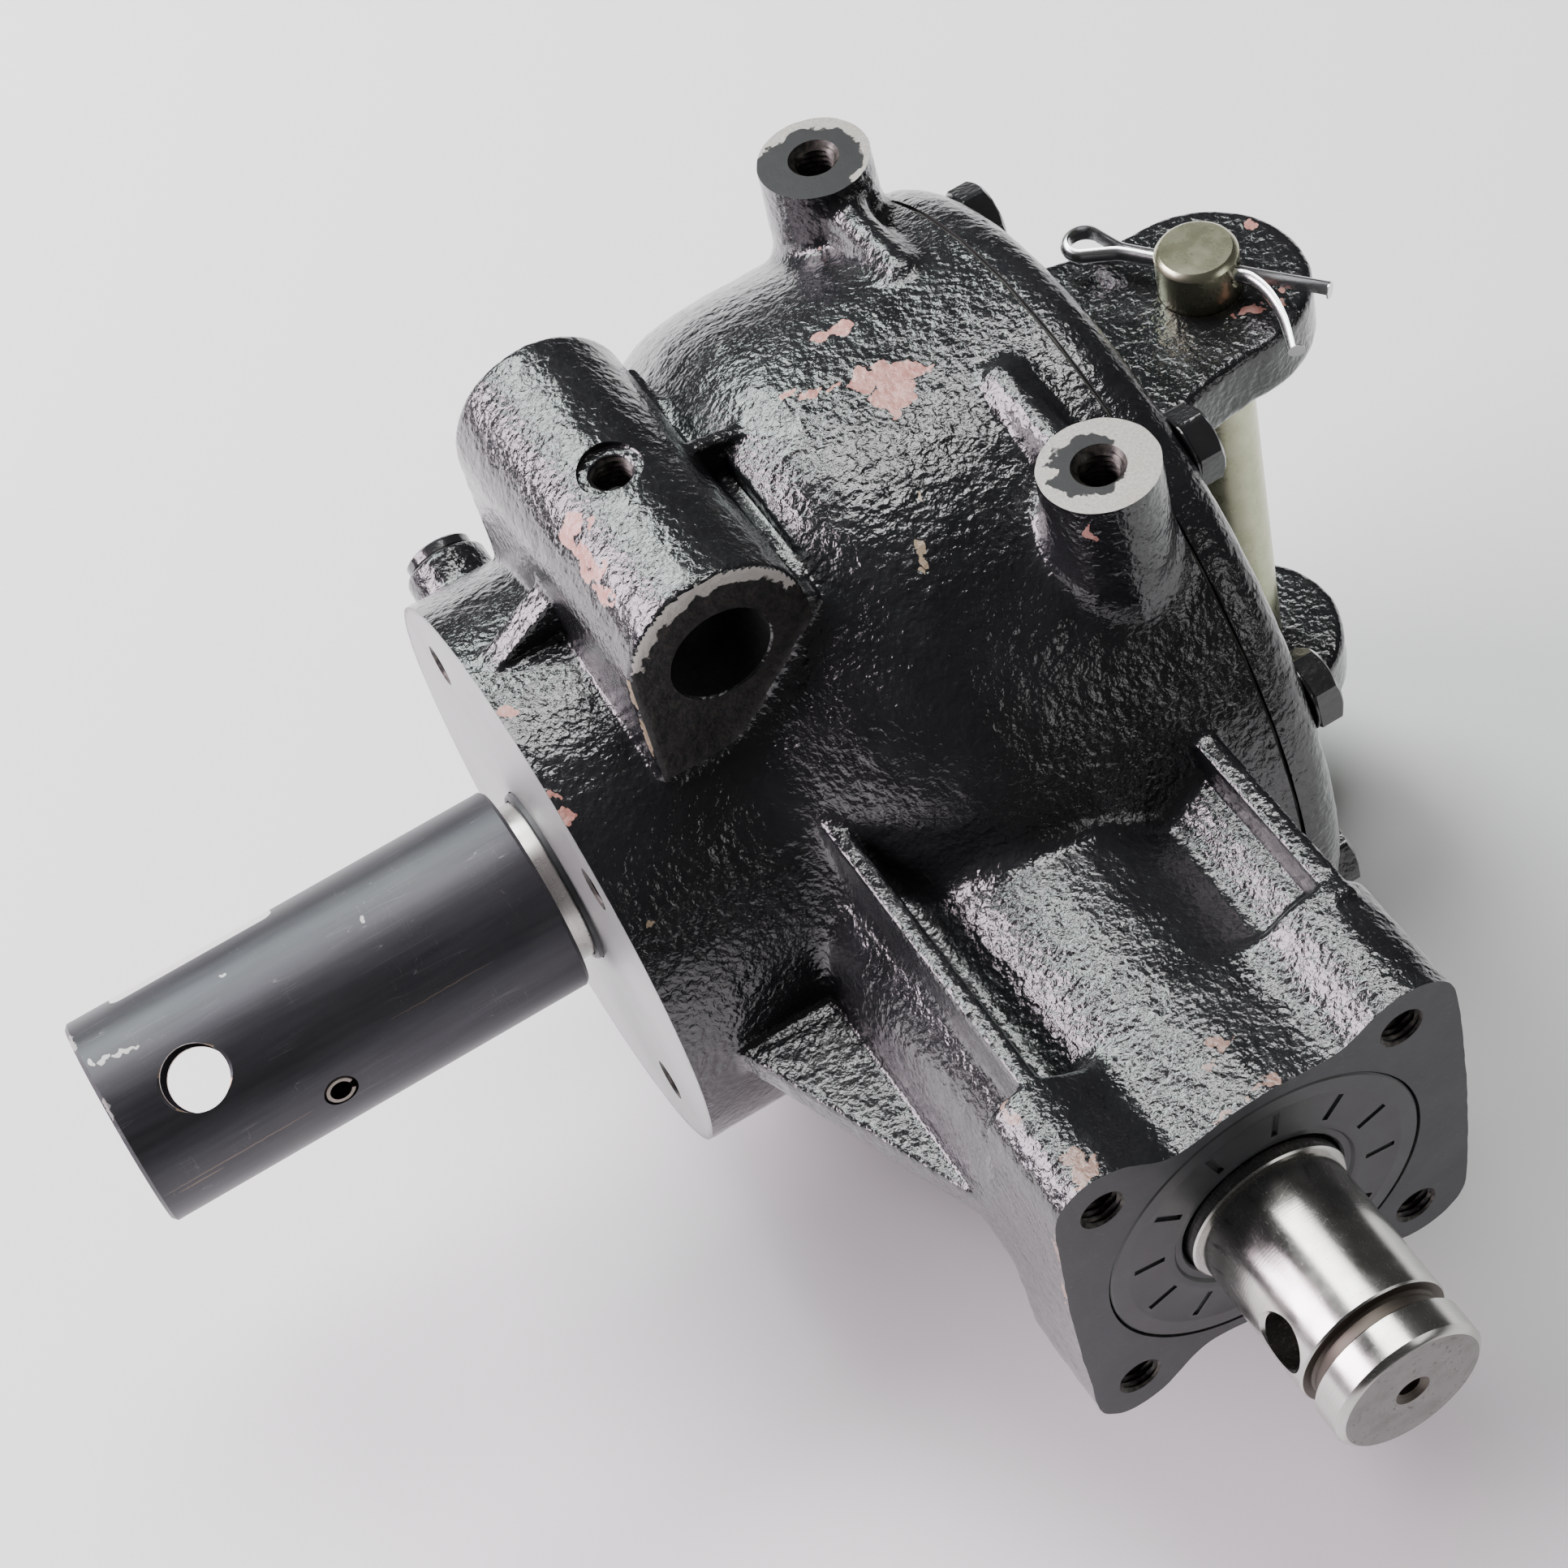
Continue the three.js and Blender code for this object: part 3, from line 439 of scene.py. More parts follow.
# ------------------------------------------------------------------ material helpers
class Mat:
    def __init__(self, name):
        self.m = bpy.data.materials.new(name)
        self.m.use_nodes = True
        self.t = self.m.node_tree
        self.t.nodes.clear()
        self.out = self.t.nodes.new("ShaderNodeOutputMaterial")
        self.b = self.t.nodes.new("ShaderNodeBsdfPrincipled")
        self.t.links.new(self.b.outputs[0], self.out.inputs[0])
        self.co = self.t.nodes.new("ShaderNodeTexCoord").outputs["Object"]

    def link(self, src, dst):
        self.t.links.new(src, dst)

    def put(self, sock, v):
        if isinstance(v, bpy.types.NodeSocket):
            self.link(v, sock)
        else:
            sock.default_value = v

    def set(self, **kw):
        for k, v in kw.items():
            self.put(self.b.inputs[k.replace("_", " ")], v)
        return self

    def math(self, op, a, b=0.5, c=0.0, clamp=False):
        n = self.t.nodes.new("ShaderNodeMath")
        n.operation = op
        n.use_clamp = clamp
        for s, v in zip(n.inputs, (a, b, c)):
            self.put(s, v)
        return n.outputs[0]

    def vmath(self, op, a, b=(0, 0, 0), out=0):
        n = self.t.nodes.new("ShaderNodeVectorMath")
        n.operation = op
        self.put(n.inputs[0], a)
        if op == "SCALE":
            self.put(n.inputs[3], b)
        else:
            self.put(n.inputs[1], b)
        return n.outputs["Value" if op in ("LENGTH", "DISTANCE", "DOT_PRODUCT") else "Vector"]

    def mapping(self, scale=(1, 1, 1), loc=(0, 0, 0), rot=(0, 0, 0), co=None):
        n = self.t.nodes.new("ShaderNodeMapping")
        self.link(co or self.co, n.inputs["Vector"])
        n.inputs["Location"].default_value = loc
        n.inputs["Rotation"].default_value = rot
        n.inputs["Scale"].default_value = scale
        return n.outputs[0]

    def noise(self, scale, detail=2.0, rough=0.5, co=None, dist=0.0):
        n = self.t.nodes.new("ShaderNodeTexNoise")
        self.link(co or self.co, n.inputs["Vector"])
        n.inputs["Scale"].default_value = scale
        n.inputs["Detail"].default_value = detail
        n.inputs["Roughness"].default_value = rough
        n.inputs["Distortion"].default_value = dist
        return n.outputs["Fac"]

    def noisec(self, scale, detail=2.0, co=None):
        n = self.t.nodes.new("ShaderNodeTexNoise")
        self.link(co or self.co, n.inputs["Vector"])
        n.inputs["Scale"].default_value = scale
        n.inputs["Detail"].default_value = detail
        return n.outputs["Color"]

    def voronoi(self, scale, co=None, feature="SMOOTH_F1", smooth=0.6):
        n = self.t.nodes.new("ShaderNodeTexVoronoi")
        n.feature = feature
        self.link(co or self.co, n.inputs["Vector"])
        n.inputs["Scale"].default_value = scale
        if feature == "SMOOTH_F1":
            n.inputs["Smoothness"].default_value = smooth
        return n.outputs["Distance"]

    def ramp(self, f, stops, interp="LINEAR"):
        n = self.t.nodes.new("ShaderNodeValToRGB")
        n.color_ramp.interpolation = interp
        e = n.color_ramp.elements
        while len(e) < len(stops):
            e.new(0.5)
        for el, (p, c) in zip(e, stops):
            el.position = p
            el.color = (c, c, c, 1) if isinstance(c, (int, float)) else (*c, 1)
        self.link(f, n.inputs[0])
        return n.outputs[0]

    def mix(self, f, a, b):
        n = self.t.nodes.new("ShaderNodeMix")
        n.data_type = "RGBA"
        self.put(n.inputs[0], f)
        for s, v in ((n.inputs[6], a), (n.inputs[7], b)):
            if isinstance(v, tuple) and len(v) == 3:
                v = (*v, 1)
            self.put(s, v)
        return n.outputs[2]

    def mixf(self, f, a, b):
        n = self.t.nodes.new("ShaderNodeMix")
        n.data_type = "FLOAT"
        self.put(n.inputs[0], f)
        self.put(n.inputs[2], a)
        self.put(n.inputs[3], b)
        return n.outputs[0]

    def bump(self, height, distance, strength=1.0, normal=None):
        n = self.t.nodes.new("ShaderNodeBump")
        n.inputs["Strength"].default_value = strength
        n.inputs["Distance"].default_value = distance
        self.link(height, n.inputs["Height"])
        if normal is not None:
            self.link(normal, n.inputs["Normal"])
        return n.outputs[0]

    def blobs(self, spots, edge=0.0012, wobble=0.004, scale=260.0):
        """1 inside any of the spots: (x, y, z, sx, sy, sz) in mm about the axes' crossing, edges torn by noise"""
        nz = self.noisec(scale, 3.0)
        off = self.vmath("SCALE", self.vmath("SUBTRACT", nz, (0.5, 0.5, 0.5)), wobble)
        p = self.vmath("ADD", self.co, off)
        total = None
        for x, y, z, sx, sy, sz in spots:
            c = tuple(ORIGIN + np.array([x, y, z]) / 1000)
            q = self.vmath("SUBTRACT", p, c)
            q = self.vmath("MULTIPLY", q, (1000 / sx, 1000 / sy, 1000 / sz))
            d = self.vmath("LENGTH", q)
            v = self.math("SUBTRACT", 1.0, d)
            total = v if total is None else self.math("MAXIMUM", total, v)
        return self.math("MULTIPLY", total, 14.0, clamp=True)

# ------------------------------------------------------------------ casting pieces
def casting_texture(v, nrm, seed, amp=0.2):
    """sand-cast skin under thick enamel: coarse lumps and a hammered ripple, as vertex heights in mm"""
    h = 0.55 * vnoise(v, 3.1, seed) + 0.35 * vnoise(v, 5.2, seed + 1) + 0.30 * vnoise(v, 11.0, seed + 2) + 0.35 * vnoise(v, 34.0, seed + 3)
    return amp * h

def vertex_normals(v, q):
    a, b, c, d = v[q[:, 0]], v[q[:, 1]], v[q[:, 2]], v[q[:, 3]]
    n = np.cross(c - a, d - b)
    out = np.zeros_like(v)
    for k in range(4):
        np.add.at(out, q[:, k], n)
    return out / np.maximum(np.linalg.norm(out, axis=1, keepdims=True), 1e-9)

def signed_volume(v, q):
    a, b, c, d = v[q[:, 0]], v[q[:, 1]], v[q[:, 2]], v[q[:, 3]]
    return (np.einsum("ij,ij->i", a, np.cross(b, c)) + np.einsum("ij,ij->i", a, np.cross(c, d))).sum() / 6

def relax(v, q, rounds=2, w=0.5):
    """light Laplacian smoothing along the quad edges, to take the voxel steps out"""
    e = np.concatenate([q[:, [0, 1]], q[:, [1, 2]], q[:, [2, 3]], q[:, [3, 0]]])
    for _ in range(rounds):
        s = np.zeros_like(v)
        n = np.zeros(len(v))
        np.add.at(s, e[:, 0], v[e[:, 1]])
        np.add.at(n, e[:, 0], 1)
        np.add.at(s, e[:, 1], v[e[:, 0]])
        np.add.at(n, e[:, 1], 1)
        v = v * (1 - w) + w * s / n[:, None]
    return v

def cast(name, field, seed, amp=0.2):
    v, q = field.mesh()
    v = v.astype(np.float64)
    if signed_volume(v, q) < 0:
        q = q[:, ::-1]
    v = relax(v, q, 1, 0.5)
    n = vertex_normals(v, q)
    v = v + n * casting_texture(v, n, seed, amp)[:, None]
    return new_mesh(name, v, np.ascontiguousarray(q))

def polar(r, deg):
    return r * math.sin(R(deg)), r * math.cos(R(deg))

FLANGE_TOP = [(50, 5), (49.6, 20), (49, 32), (48, 39.5), (45, 43.5), (40, 46.2), (34, 46.4), (29, 44.6), (24, 41.6), (19, 40.2), (12, 40.6), (4, 41.6), (-4, 41.4), (-11, 39.8), (-17, 38.8), (-22, 40.2), (-26, 43.2), (-31, 46.3), (-38, 47), (-43, 44.5), (-46, 39), (-46.5, 24), (-47, 12)]
NECK_TOP = [(47.5, 5), (47, 13), (45.3, 22), (42.5, 29), (40, 35.5), (36.5, 37.6), (33, 36.2), (29, 34.2), (25.5, 33.6), (20, 36.3), (12, 39.6), (4, 41.1), (-4, 41.1), (-12, 39.5), (-19, 36.5), (-25, 32.8), (-28.5, 31.9), (-33.5, 33.4), (-38.5, 30), (-43.5, 22.5), (-46.7, 13), (-47.5, 5)]

def sym(top):
    return catmull(top, 3) + catmull([(x, -z) for x, z in reversed(top)], 3)

def build_housing():
    f = Field((-86, -170.5, -107), (59.5, 104, 113))
    outer = [(-85, 0), (-85, 70.3)] + catmull([(-60, 70.4), (-48, 70.4), (-42, 71.2), (-36, 74.6), (-29, 81.2), (-21, 88.6), (-12, 94.8), (-3, 98.6), (8, 99.9), (28, 100.2), (48, 101.0), (58, 101.4)], 5) + [(58.6, 101.4), (58.6, 0)]
    f.add(revolved(outer), (-86, -103, -103), (59, 103, 103), k=0)
    fl, nk = sym(FLANGE_TOP), sym(NECK_TOP)
    def neck(x, y, z):
        dF, dN = poly_sdf(fl, x + 0 * z, z + 0 * x), poly_sdf(nk, x + 0 * z, z + 0 * x)
        t0 = np.where(x + 0 * z < 0, -134.5, -130.0)
        t = np.clip((t0 - y) / 7.0, 0, 1)
        t = t * t * (3 - 2 * t)
        d2 = dN * (1 - t) + dF * t
        dt = np.abs(y - (-114.5)) - 54.5
        return np.maximum(d2, dt)
    f.add(neck, (-52, -170, -50), (52, -58, 50), k=4)
    for sz in (1, -1):
        z0, z1 = (18, 46.6) if sz > 0 else (-46.6, -18)
        f.add(prism([(-36.3, -50), (-31.6, -50), (-31.6, -141), (-36.3, -141)], "xy", z0, z1, 1.0), (-37, -142, z0), (-31, -50, z1), k=1.6)
        f.add(prism([(38.3, -60), (43.7, -60), (43.7, -141), (38.3, -141)], "xy", z0, z1, 1.0), (38, -142, z0), (44, -60, z1), k=1.8)
    f.add(prism([(-76, -60), (-40, -60), (-40, -134.5), (-47.5, -134.5)], "xy", -3.9, 3.9, 0.7), (-77, -135, -4), (-40, -60, 4), k=2.2)
    # handle socket on its pedestal
    sock = [(-60.5, 46), (-15.8, 46), (-15.8, 88), (-18.6, 88.4)] + arc(-39.5, 88.5, 21, 2, 180, 32) + [(-60.5, 86)]
    f.cut(prism([(-22, 88.6), (-14.6, 88.6), (-14.6, 101), (-22, 101)], "xz", -41, 3.2, 0.3), (-22, -41, 88), (-14, 4, 101), k=0.8)
    f.add(prism(sock, "xz", -39, 45, 1.1), (-61, -40, 46), (-15, 46, 110), k=2.2)
    f.add(prism([(-59, 60), (-59, 82.8), (-60.5, 81.9), (-78.8, 69.6), (-78.8, 60)], "xz", 1.0, 8.6, 0.5), (-79, 1, 60), (-59, 9, 83), k=1.6)
    f.add(prism([(-24, 84), (-24, 99.9), (-21, 99.4), (-9, 97.2), (-3, 96), (-3, 84)], "xz", 3.0, 6.4, 0.7), (-24, 3, 84), (-3, 7, 100), k=1.0)
    # tapped bosses and their tie ribs
    for sz in (1, -1):
        for sy in (1, -1):
            f.add(stick((42.3, 59 * sy, 40 * sz), (42.3, 59 * sy, 106 * sz), 14.2, 13.0, 0.5), (27, 59 * sy - 15, min(40 * sz, 106 * sz)), (56, 59 * sy + 15, max(40 * sz, 106 * sz)), k=5)
            f.add(stick((42, 54 * sy, 95.2 * sz), (42, 18 * sy, 97.6 * sz), 3.6, 4.0, 3), (37, min(54 * sy, 18 * sy) - 4, min(92 * sz, 102 * sz)), (47, max(54 * sy, 18 * sy) + 4, max(92 * sz, 102 * sz)), k=4)
            f.add(prism([(46 * sy, 60 * sz), (46 * sy, 96.5 * sz), (20 * sy, 96 * sz), (20 * sy, 60 * sz)], "yz", 38.6, 45.4, 2), (38, min(20 * sy, 46 * sy), min(60 * sz, 97 * sz)), (46, max(20 * sy, 46 * sy), max(60 * sz, 97 * sz)), k=4)
    c22, s22 = math.cos(R(22)), math.sin(R(22))
    f.add(stick((-67, 55 * c22, 55 * s22), (-67, 80.5 * c22, 80.5 * s22), 11.0, 10.2, 1.5), (-79, 45, 10), (-55, 86, 44), k=4)
    f.add(stick((-67, 0, -55), (-67, 0, -78), 11.0, 10.2, 1.5), (-79, -12, -80), (-55, 12, -50), k=4)
    ob = cast("gearbox_casting", f, 11, 0.2)
    # machined planes
    cuts = [block(-100, -82.7, -130, 130, -130, 130), block(55.5, 80, -130, 130, -130, 130), block(-80, 80, -190, -167, -80, 80)]
    for sz in (1, -1):
        cuts.append(block(26, 60, -80, 80, min(104 * sz, 120 * sz), max(104 * sz, 120 * sz)))
    # hollow inside, seats and bores
    cuts.append(turned("cutter", [(-84, 0), (-84, 22), (-76, 22), (-76, 31), (-66.5, 31), (-66.5, 40.05), (-46, 40.05), (-46, 52), (-28, 64), (-8, 82), (2, 86), (30, 86), (31, 79), (57, 79), (57, 0)], "x", 128))
    cuts.append(turned("cutter", [(-168, 0), (-168, 38.25), (-157, 38.25), (-157, 36.05), (-60, 36.05), (-60, 0)], "y", 128))
    for a in BOLTS:
        y, z = polar(88.5, a)
        cuts.append(hole((34, y, z), (57, y, z), 5.2, 24))
    for a in (45, 135, 225, 315):
        y, z = polar(55, a)
        cuts.append(threaded((-62, y, z), (-82.7 - 0.01, y, z), 4.15, 0.85, 1.5, mouth=(0.9, 5.2)))
    for sx in (1, -1):
        for sz in (1, -1):
            cuts.append(threaded((35.4 * sx, -143, 35.4 * sz), (35.4 * sx, -167.01, 35.4 * sz), 4.15, 0.85, 1.5, mouth=(0.9, 5.2)))
    cuts.append(along("cutter", (-39.5, -42, 86.5), (-39.5, 48, 86.5), [(0, 0), (0, 12.0), (3.0, 12.0), (3.4, 11.6), (86.6, 11.6), (87, 12.0), (90, 12.0), (90, 0)], 72))
    cuts.append(along("cutter", (-39.5, 1, 107.6), (-39.5, 1, 112), [(0, 0), (0, 7.0), (0.3, 7.3), (4.4, 7.3), (4.4, 0)], 64))
    cuts.append(threaded((-39.5, 1, 88), (-39.5, 1, 107.61), 4.15, 0.85, 1.5, mouth=(0.9, 5.2)))
    for sz in (1, -1):
        for sy in (1, -1):
            cuts.append(threaded((42.3, 59 * sy, 78 * sz), (42.3, 59 * sy, 104.01 * sz), 4.15, 0.85, 1.5, mouth=(1.9, 5.9)))
    cuts.append(hole((-67, 34 * c22, 34 * s22), (-67, 84 * c22, 84 * s22), 6.2, 32))
    cuts.append(hole((-67, 0, -38), (-67, 0, -84), 6.2, 32))
    boolean(ob, cuts)
    return ob

def build_cover():
    f = Field((53.5, -105, -105), (130.5, 105, 105))
    prof = [(54.5, 0), (54.5, 101.4)] + catmull([(58, 101.5), (61.5, 101.0), (64.6, 99.5), (67.0, 97.0), (68.0, 94.2)], 5) + [(68, 60), (68.4, 53), (70, 48.5), (71.6, 45.5), (72, 43), (72, 0)]
    f.add(revolved(prof), (53, -104, -104), (73, 104, 104), k=0)
    outline = [(60, -36), (68, -35)] + catmull([(70, -34.4), (78, -29.6), (88, -26.4), (97, -25.1)], 4) + arc(102.7, 0, 24.9, -96, 96, 40) + catmull([(97, 25.1), (88, 26.4), (78, 29.6), (70, 34.4)], 4) + [(68, 35), (60, 36)]
    for z0, z1 in ((54.1, 69.8), (-69.8, -54.1)):
        f.add(prism(outline, "xy", z0, z1, 2.2), (60, -37, z0), (128, 37, z1), k=6)
    ob = cast("gearbox_rear_cover", f, 57, 0.2)
    cuts = [block(40, 56.5, -130, 130, -130, 130)]
    cuts.append(turned("cutter", [(50, 0), (50, 36), (61.2, 36), (61.2, 0)], "x", 96))
    cuts.append(hole((102.7, 0, -80), (102.7, 0, 80), 9.62, 64))
    for a in BOLTS:
        y, z = polar(88.5, a)
        cuts.append(hole((50, y, z), (67.99, y, z), 5.4, 24))
        cuts.append(hole((68.12, y, z), (72, y, z), 9.4, 40))
    boolean(ob, cuts)
    seat = turned("seat", [(46, 36), (46, 44), (57.2, 44), (57.2, 36)], "x", 96, closed=True)
    boolean(ob, [seat], "UNION")
    return ob

def mark(ob, rules, deg=30):
    """faces on a rule's plane take that rule's material slot; edges between flat machined faces stay crisp"""
    me = ob.data
    n = len(me.polygons)
    c = np.empty(n * 3, np.float32)
    me.polygons.foreach_get("center", c)
    nn = np.empty(n * 3, np.float32)
    me.polygons.foreach_get("normal", nn)
    c = (c.reshape(-1, 3).astype(np.float64) - ORIGIN) * 1000
    nn = nn.reshape(-1, 3)
    idx = np.zeros(n, np.int32)
    for slot, fn in rules:
        idx[fn(c, nn)] = slot
    me.polygons.foreach_set("material_index", idx)
    sharpen(ob, deg)
    # every border between two finishes is a crisp edge
    bm = bmesh.new()
    bm.from_mesh(me)
    for e in bm.edges:
        if len(e.link_faces) == 2 and e.link_faces[0].material_index != e.link_faces[1].material_index:
            e.smooth = False
    bm.to_mesh(me)
    bm.free()

# ------------------------------------------------------------------ materials
def paint(name, chips=(), knocks=(), scars=(), peel=1.0, tone=(0.0085, 0.0088, 0.0098)):
    """gloss black enamel flowed over sand-cast iron, with primer showing where it has flaked"""
    M = Mat(name)
    big = M.noise(38, 3, 0.55)
    mid_ = M.noise(150, 3, 0.6)
    warp = M.vmath("ADD", M.co, M.vmath("SCALE", M.vmath("SUBTRACT", M.noisec(420, 2), (0.5, 0.5, 0.5)), 0.0016))
    cell = M.voronoi(620, co=warp, smooth=0.6)
    rip = M.noise(430, 3, 0.6, co=warp)
    rip2 = M.noise(1100, 2, 0.5, co=warp)
    h = M.math("ADD", M.math("MULTIPLY", cell, 0.55), M.math("MULTIPLY", rip, 0.9))
    h = M.math("ADD", h, M.math("MULTIPLY", rip2, 0.34))
    soft = M.ramp(M.noise(30, 2, 0.5), [(0.3, 0.78), (0.65, 1.0)])
    h = M.math("MULTIPLY", h, soft)
    nrm = M.bump(h, 0.00062 * peel, 0.6)
    col = M.mix(M.ramp(big, [(0.35, 0.0), (0.7, 1.0)]), tone, tuple(t * 1.7 + 0.001 for t in tone))
    col = M.mix(M.ramp(mid_, [(0.55, 0.0), (0.8, 0.4)]), col, (0.021, 0.024, 0.023))
    rough = M.mixf(M.ramp(M.noise(120, 3, 0.6), [(0.35, 0.0), (0.7, 1.0)]), 0.15, 0.25)
    if scars:
        k = M.blobs(scars, wobble=0.003, scale=420)
        col = M.mix(k, col, (0.30, 0.23, 0.15))
        rough = M.mixf(k, rough, 0.6)
    if knocks:
        k = M.blobs(knocks, wobble=0.006, scale=330)
        c2 = M.mix(M.noise(700, 2), (0.15, 0.07, 0.045), (0.36, 0.235, 0.19))
        col = M.mix(k, col, c2)
        rough = M.mixf(k, rough, 0.45)
    if chips:
        k = M.blobs(chips, wobble=0.0085, scale=230)
        c2 = M.mix(M.ramp(M.noise(330, 3), [(0.4, 0.0), (0.65, 1.0)]), (0.40, 0.17, 0.135), (0.52, 0.28, 0.235))
        col = M.mix(k, col, c2)
        rough = M.mixf(k, rough, 0.62)
    M.set(Base_Color=col, Roughness=rough, Normal=nrm)
    M.b.inputs["Specular IOR Level"].default_value = 0.6
    M.b.inputs["Coat Weight"].default_value = 0.5
    M.b.inputs["Coat Roughness"].default_value = 0.09
    M.link(nrm, M.b.inputs["Coat Normal"])
    return M.m

def radial(M, axis, scale):
    """0..1 rings about a model axis, for lathe marks"""
    q = M.vmath("SUBTRACT", M.co, tuple(ORIGIN))
    keep = {"x": (0, 1, 1), "y": (1, 0, 1), "z": (1, 1, 0)}[axis]
    d = M.vmath("LENGTH", M.vmath("MULTIPLY", q, keep))
    w = M.t.nodes.new("ShaderNodeCombineXYZ")
    M.link(d, w.inputs[0])
    return M.noise(scale, 4, 0.65, co=w.outputs[0])

def along_axis(M, axis, scale):
    """streaks that run round a turned surface: noise of the axial position only"""
    s = M.t.nodes.new("ShaderNodeSeparateXYZ")
    M.link(M.co, s.inputs[0])
    w = M.t.nodes.new("ShaderNodeCombineXYZ")
    M.link(s.outputs["xyz".index(axis)], w.inputs[0])
    return M.noise(scale, 4, 0.65, co=w.outputs[0])

def steel(name, tone=(0.60, 0.59, 0.565), rough=0.24, marks=None, ring=None, stain=(0.30, 0.24, 0.17), stain_amt=0.16, scratch=True, metal=1.0):
    M = Mat(name)
    a = along_axis(M, marks, 2600) if marks else M.noise(900, 3)
    g = radial(M, ring, 3200) if ring else M.noise(1500, 2)
    cloud = M.noise(46, 4, 0.6)
    col = M.mix(M.ramp(a, [(0.3, 0.0), (0.7, 1.0)]), tuple(t * 0.86 for t in tone), tuple(min(1, t * 1.08) for t in tone))
    col = M.mix(M.math("MULTIPLY", M.ramp(cloud, [(0.5, 0.0), (0.78, 1.0)]), stain_amt), col, stain)
    r = M.mixf(M.ramp(M.noise(160, 3), [(0.3, 0.0), (0.75, 1.0)]), rough * 0.8, rough * 1.4)
    h = M.math("ADD", M.math("MULTIPLY", a, 0.5), M.math("MULTIPLY", g, 0.5))
    nrm = M.bump(h, 0.00005, 0.45)
    if scratch:
        s = M.noise(34, 2, 0.5, co=M.mapping(scale=(9, 9, 60), rot=(0.5, 0.9, 0.3)))
        line = M.ramp(s, [(0.495, 0.0), (0.5, 1.0), (0.505, 0.0)])
        r = M.mixf(M.math("MULTIPLY", line, 0.5), r, rough * 2.2)
    M.set(Base_Color=col, Roughness=r, Metallic=metal, Normal=nrm)
    return M.m

def ring_face_mat():
    M = Mat("machined_ring_face")
    q = M.vmath("SUBTRACT", M.co, tuple(ORIGIN))
    d = M.vmath("LENGTH", M.vmath("MULTIPLY", q, (0, 1, 1)))
    w = M.t.nodes.new("ShaderNodeCombineXYZ")
    M.link(d, w.inputs[0])
    fine = M.noise(4200, 3, 0.6, co=w.outputs[0])
    cloud = M.noise(55, 4, 0.6)
    col = M.mix(M.ramp(fine, [(0.3, 0.0), (0.7, 1.0)]), (0.33, 0.335, 0.335), (0.50, 0.505, 0.50))
    col = M.mix(M.math("MULTIPLY", M.ramp(cloud, [(0.5, 0.0), (0.75, 1.0)]), 0.3), col, (0.36, 0.36, 0.35))
    # overspray creeping in from the rim
    rim = M.math("SUBTRACT", d, M.math("MULTIPLY", M.noise(420, 3), 0.0035))
    over = M.ramp(M.math("MULTIPLY", M.math("SUBTRACT", rim, 0.0668), 500.0), [(0.0, 0.0), (1.0, 1.0)])
    col = M.mix(M.math("MULTIPLY", over, 0.75), col, (0.05, 0.05, 0.052))
    M.set(Base_Color=col, Roughness=M.mixf(cloud, 0.36, 0.52), Metallic=0.75, Normal=M.bump(fine, 0.00006, 0.5))
    return M.m

def flange_face_mat():
    M = Mat("flange_face_overspray")
    cloud, fine = M.noise(90, 4, 0.6), M.noise(900, 3, 0.6)
    col = M.mix(M.ramp(cloud, [(0.35, 0.0), (0.7, 1.0)]), (0.036, 0.038, 0.041), (0.056, 0.058, 0.062))
    scuff = M.ramp(M.noise(500, 3, co=M.mapping(scale=(1, 1, 3))), [(0.66, 0.0), (0.74, 0.5)])
    col = M.mix(scuff, col, (0.11, 0.11, 0.108))
    M.set(Base_Color=col, Roughness=M.mixf(cloud, 0.42, 0.55), Metallic=0.25, Normal=M.bump(M.math("ADD", cloud, M.math("MULTIPLY", fine, 0.4)), 0.00018, 0.5))
    return M.m

def boss_top_mat():
    """machined boss tops: mostly bare on the near one, mostly still painted on the far one"""
    M = Mat("boss_tops")
    nz = M.vmath("SCALE", M.vmath("SUBTRACT", M.noisec(230, 3), (0.5, 0.5, 0.5)), 0.009)
    p = M.vmath("ADD", M.co, nz)
    def dist(x, y):
        c = tuple(ORIGIN + np.array([x, y, 0]) / 1000)
        return M.vmath("LENGTH", M.vmath("MULTIPLY", M.vmath("SUBTRACT", p, c), (1, 1, 0)))
    near = M.math("MULTIPLY", M.math("SUBTRACT", 0.0085, dist(40.0, -58.2)), 2500.0, clamp=True)      # paint round the near hole
    far = M.math("MULTIPLY", M.math("SUBTRACT", 0.0128, dist(39.6, 57.0)), 2500.0, clamp=True)         # paint over most of the far boss
    s = M.t.nodes.new("ShaderNodeSeparateXYZ")
    M.link(M.co, s.inputs[0])
    isfar = M.math("GREATER_THAN", s.outputs[1], float(ORIGIN[1]))
    under = M.math("LESS_THAN", s.outputs[2], float(ORIGIN[2]))
    k = M.mixf(isfar, near, far)
    k = M.mixf(under, k, 0.85)
    fine = M.noise(1500, 3)
    bare = M.mix(M.ramp(fine, [(0.3, 0.0), (0.7, 1.0)]), (0.34, 0.32, 0.295), (0.52, 0.50, 0.465))
    bare = M.mix(M.math("MULTIPLY", M.ramp(M.noise(150, 3), [(0.5, 0.0), (0.7, 1.0)]), 0.35), bare, (0.42, 0.36, 0.30))
    blk = M.mix(M.noise(400, 2), (0.010, 0.010, 0.011), (0.022, 0.022, 0.023))
    M.set(Base_Color=M.mix(k, bare, blk), Roughness=M.mixf(k, 0.42, 0.36), Metallic=M.mixf(k, 0.55, 0.0), Normal=M.bump(M.math("ADD", M.math("MULTIPLY", k, 0.6), M.math("MULTIPLY", fine, 0.25)), 0.00016, 0.6))
    return M.m

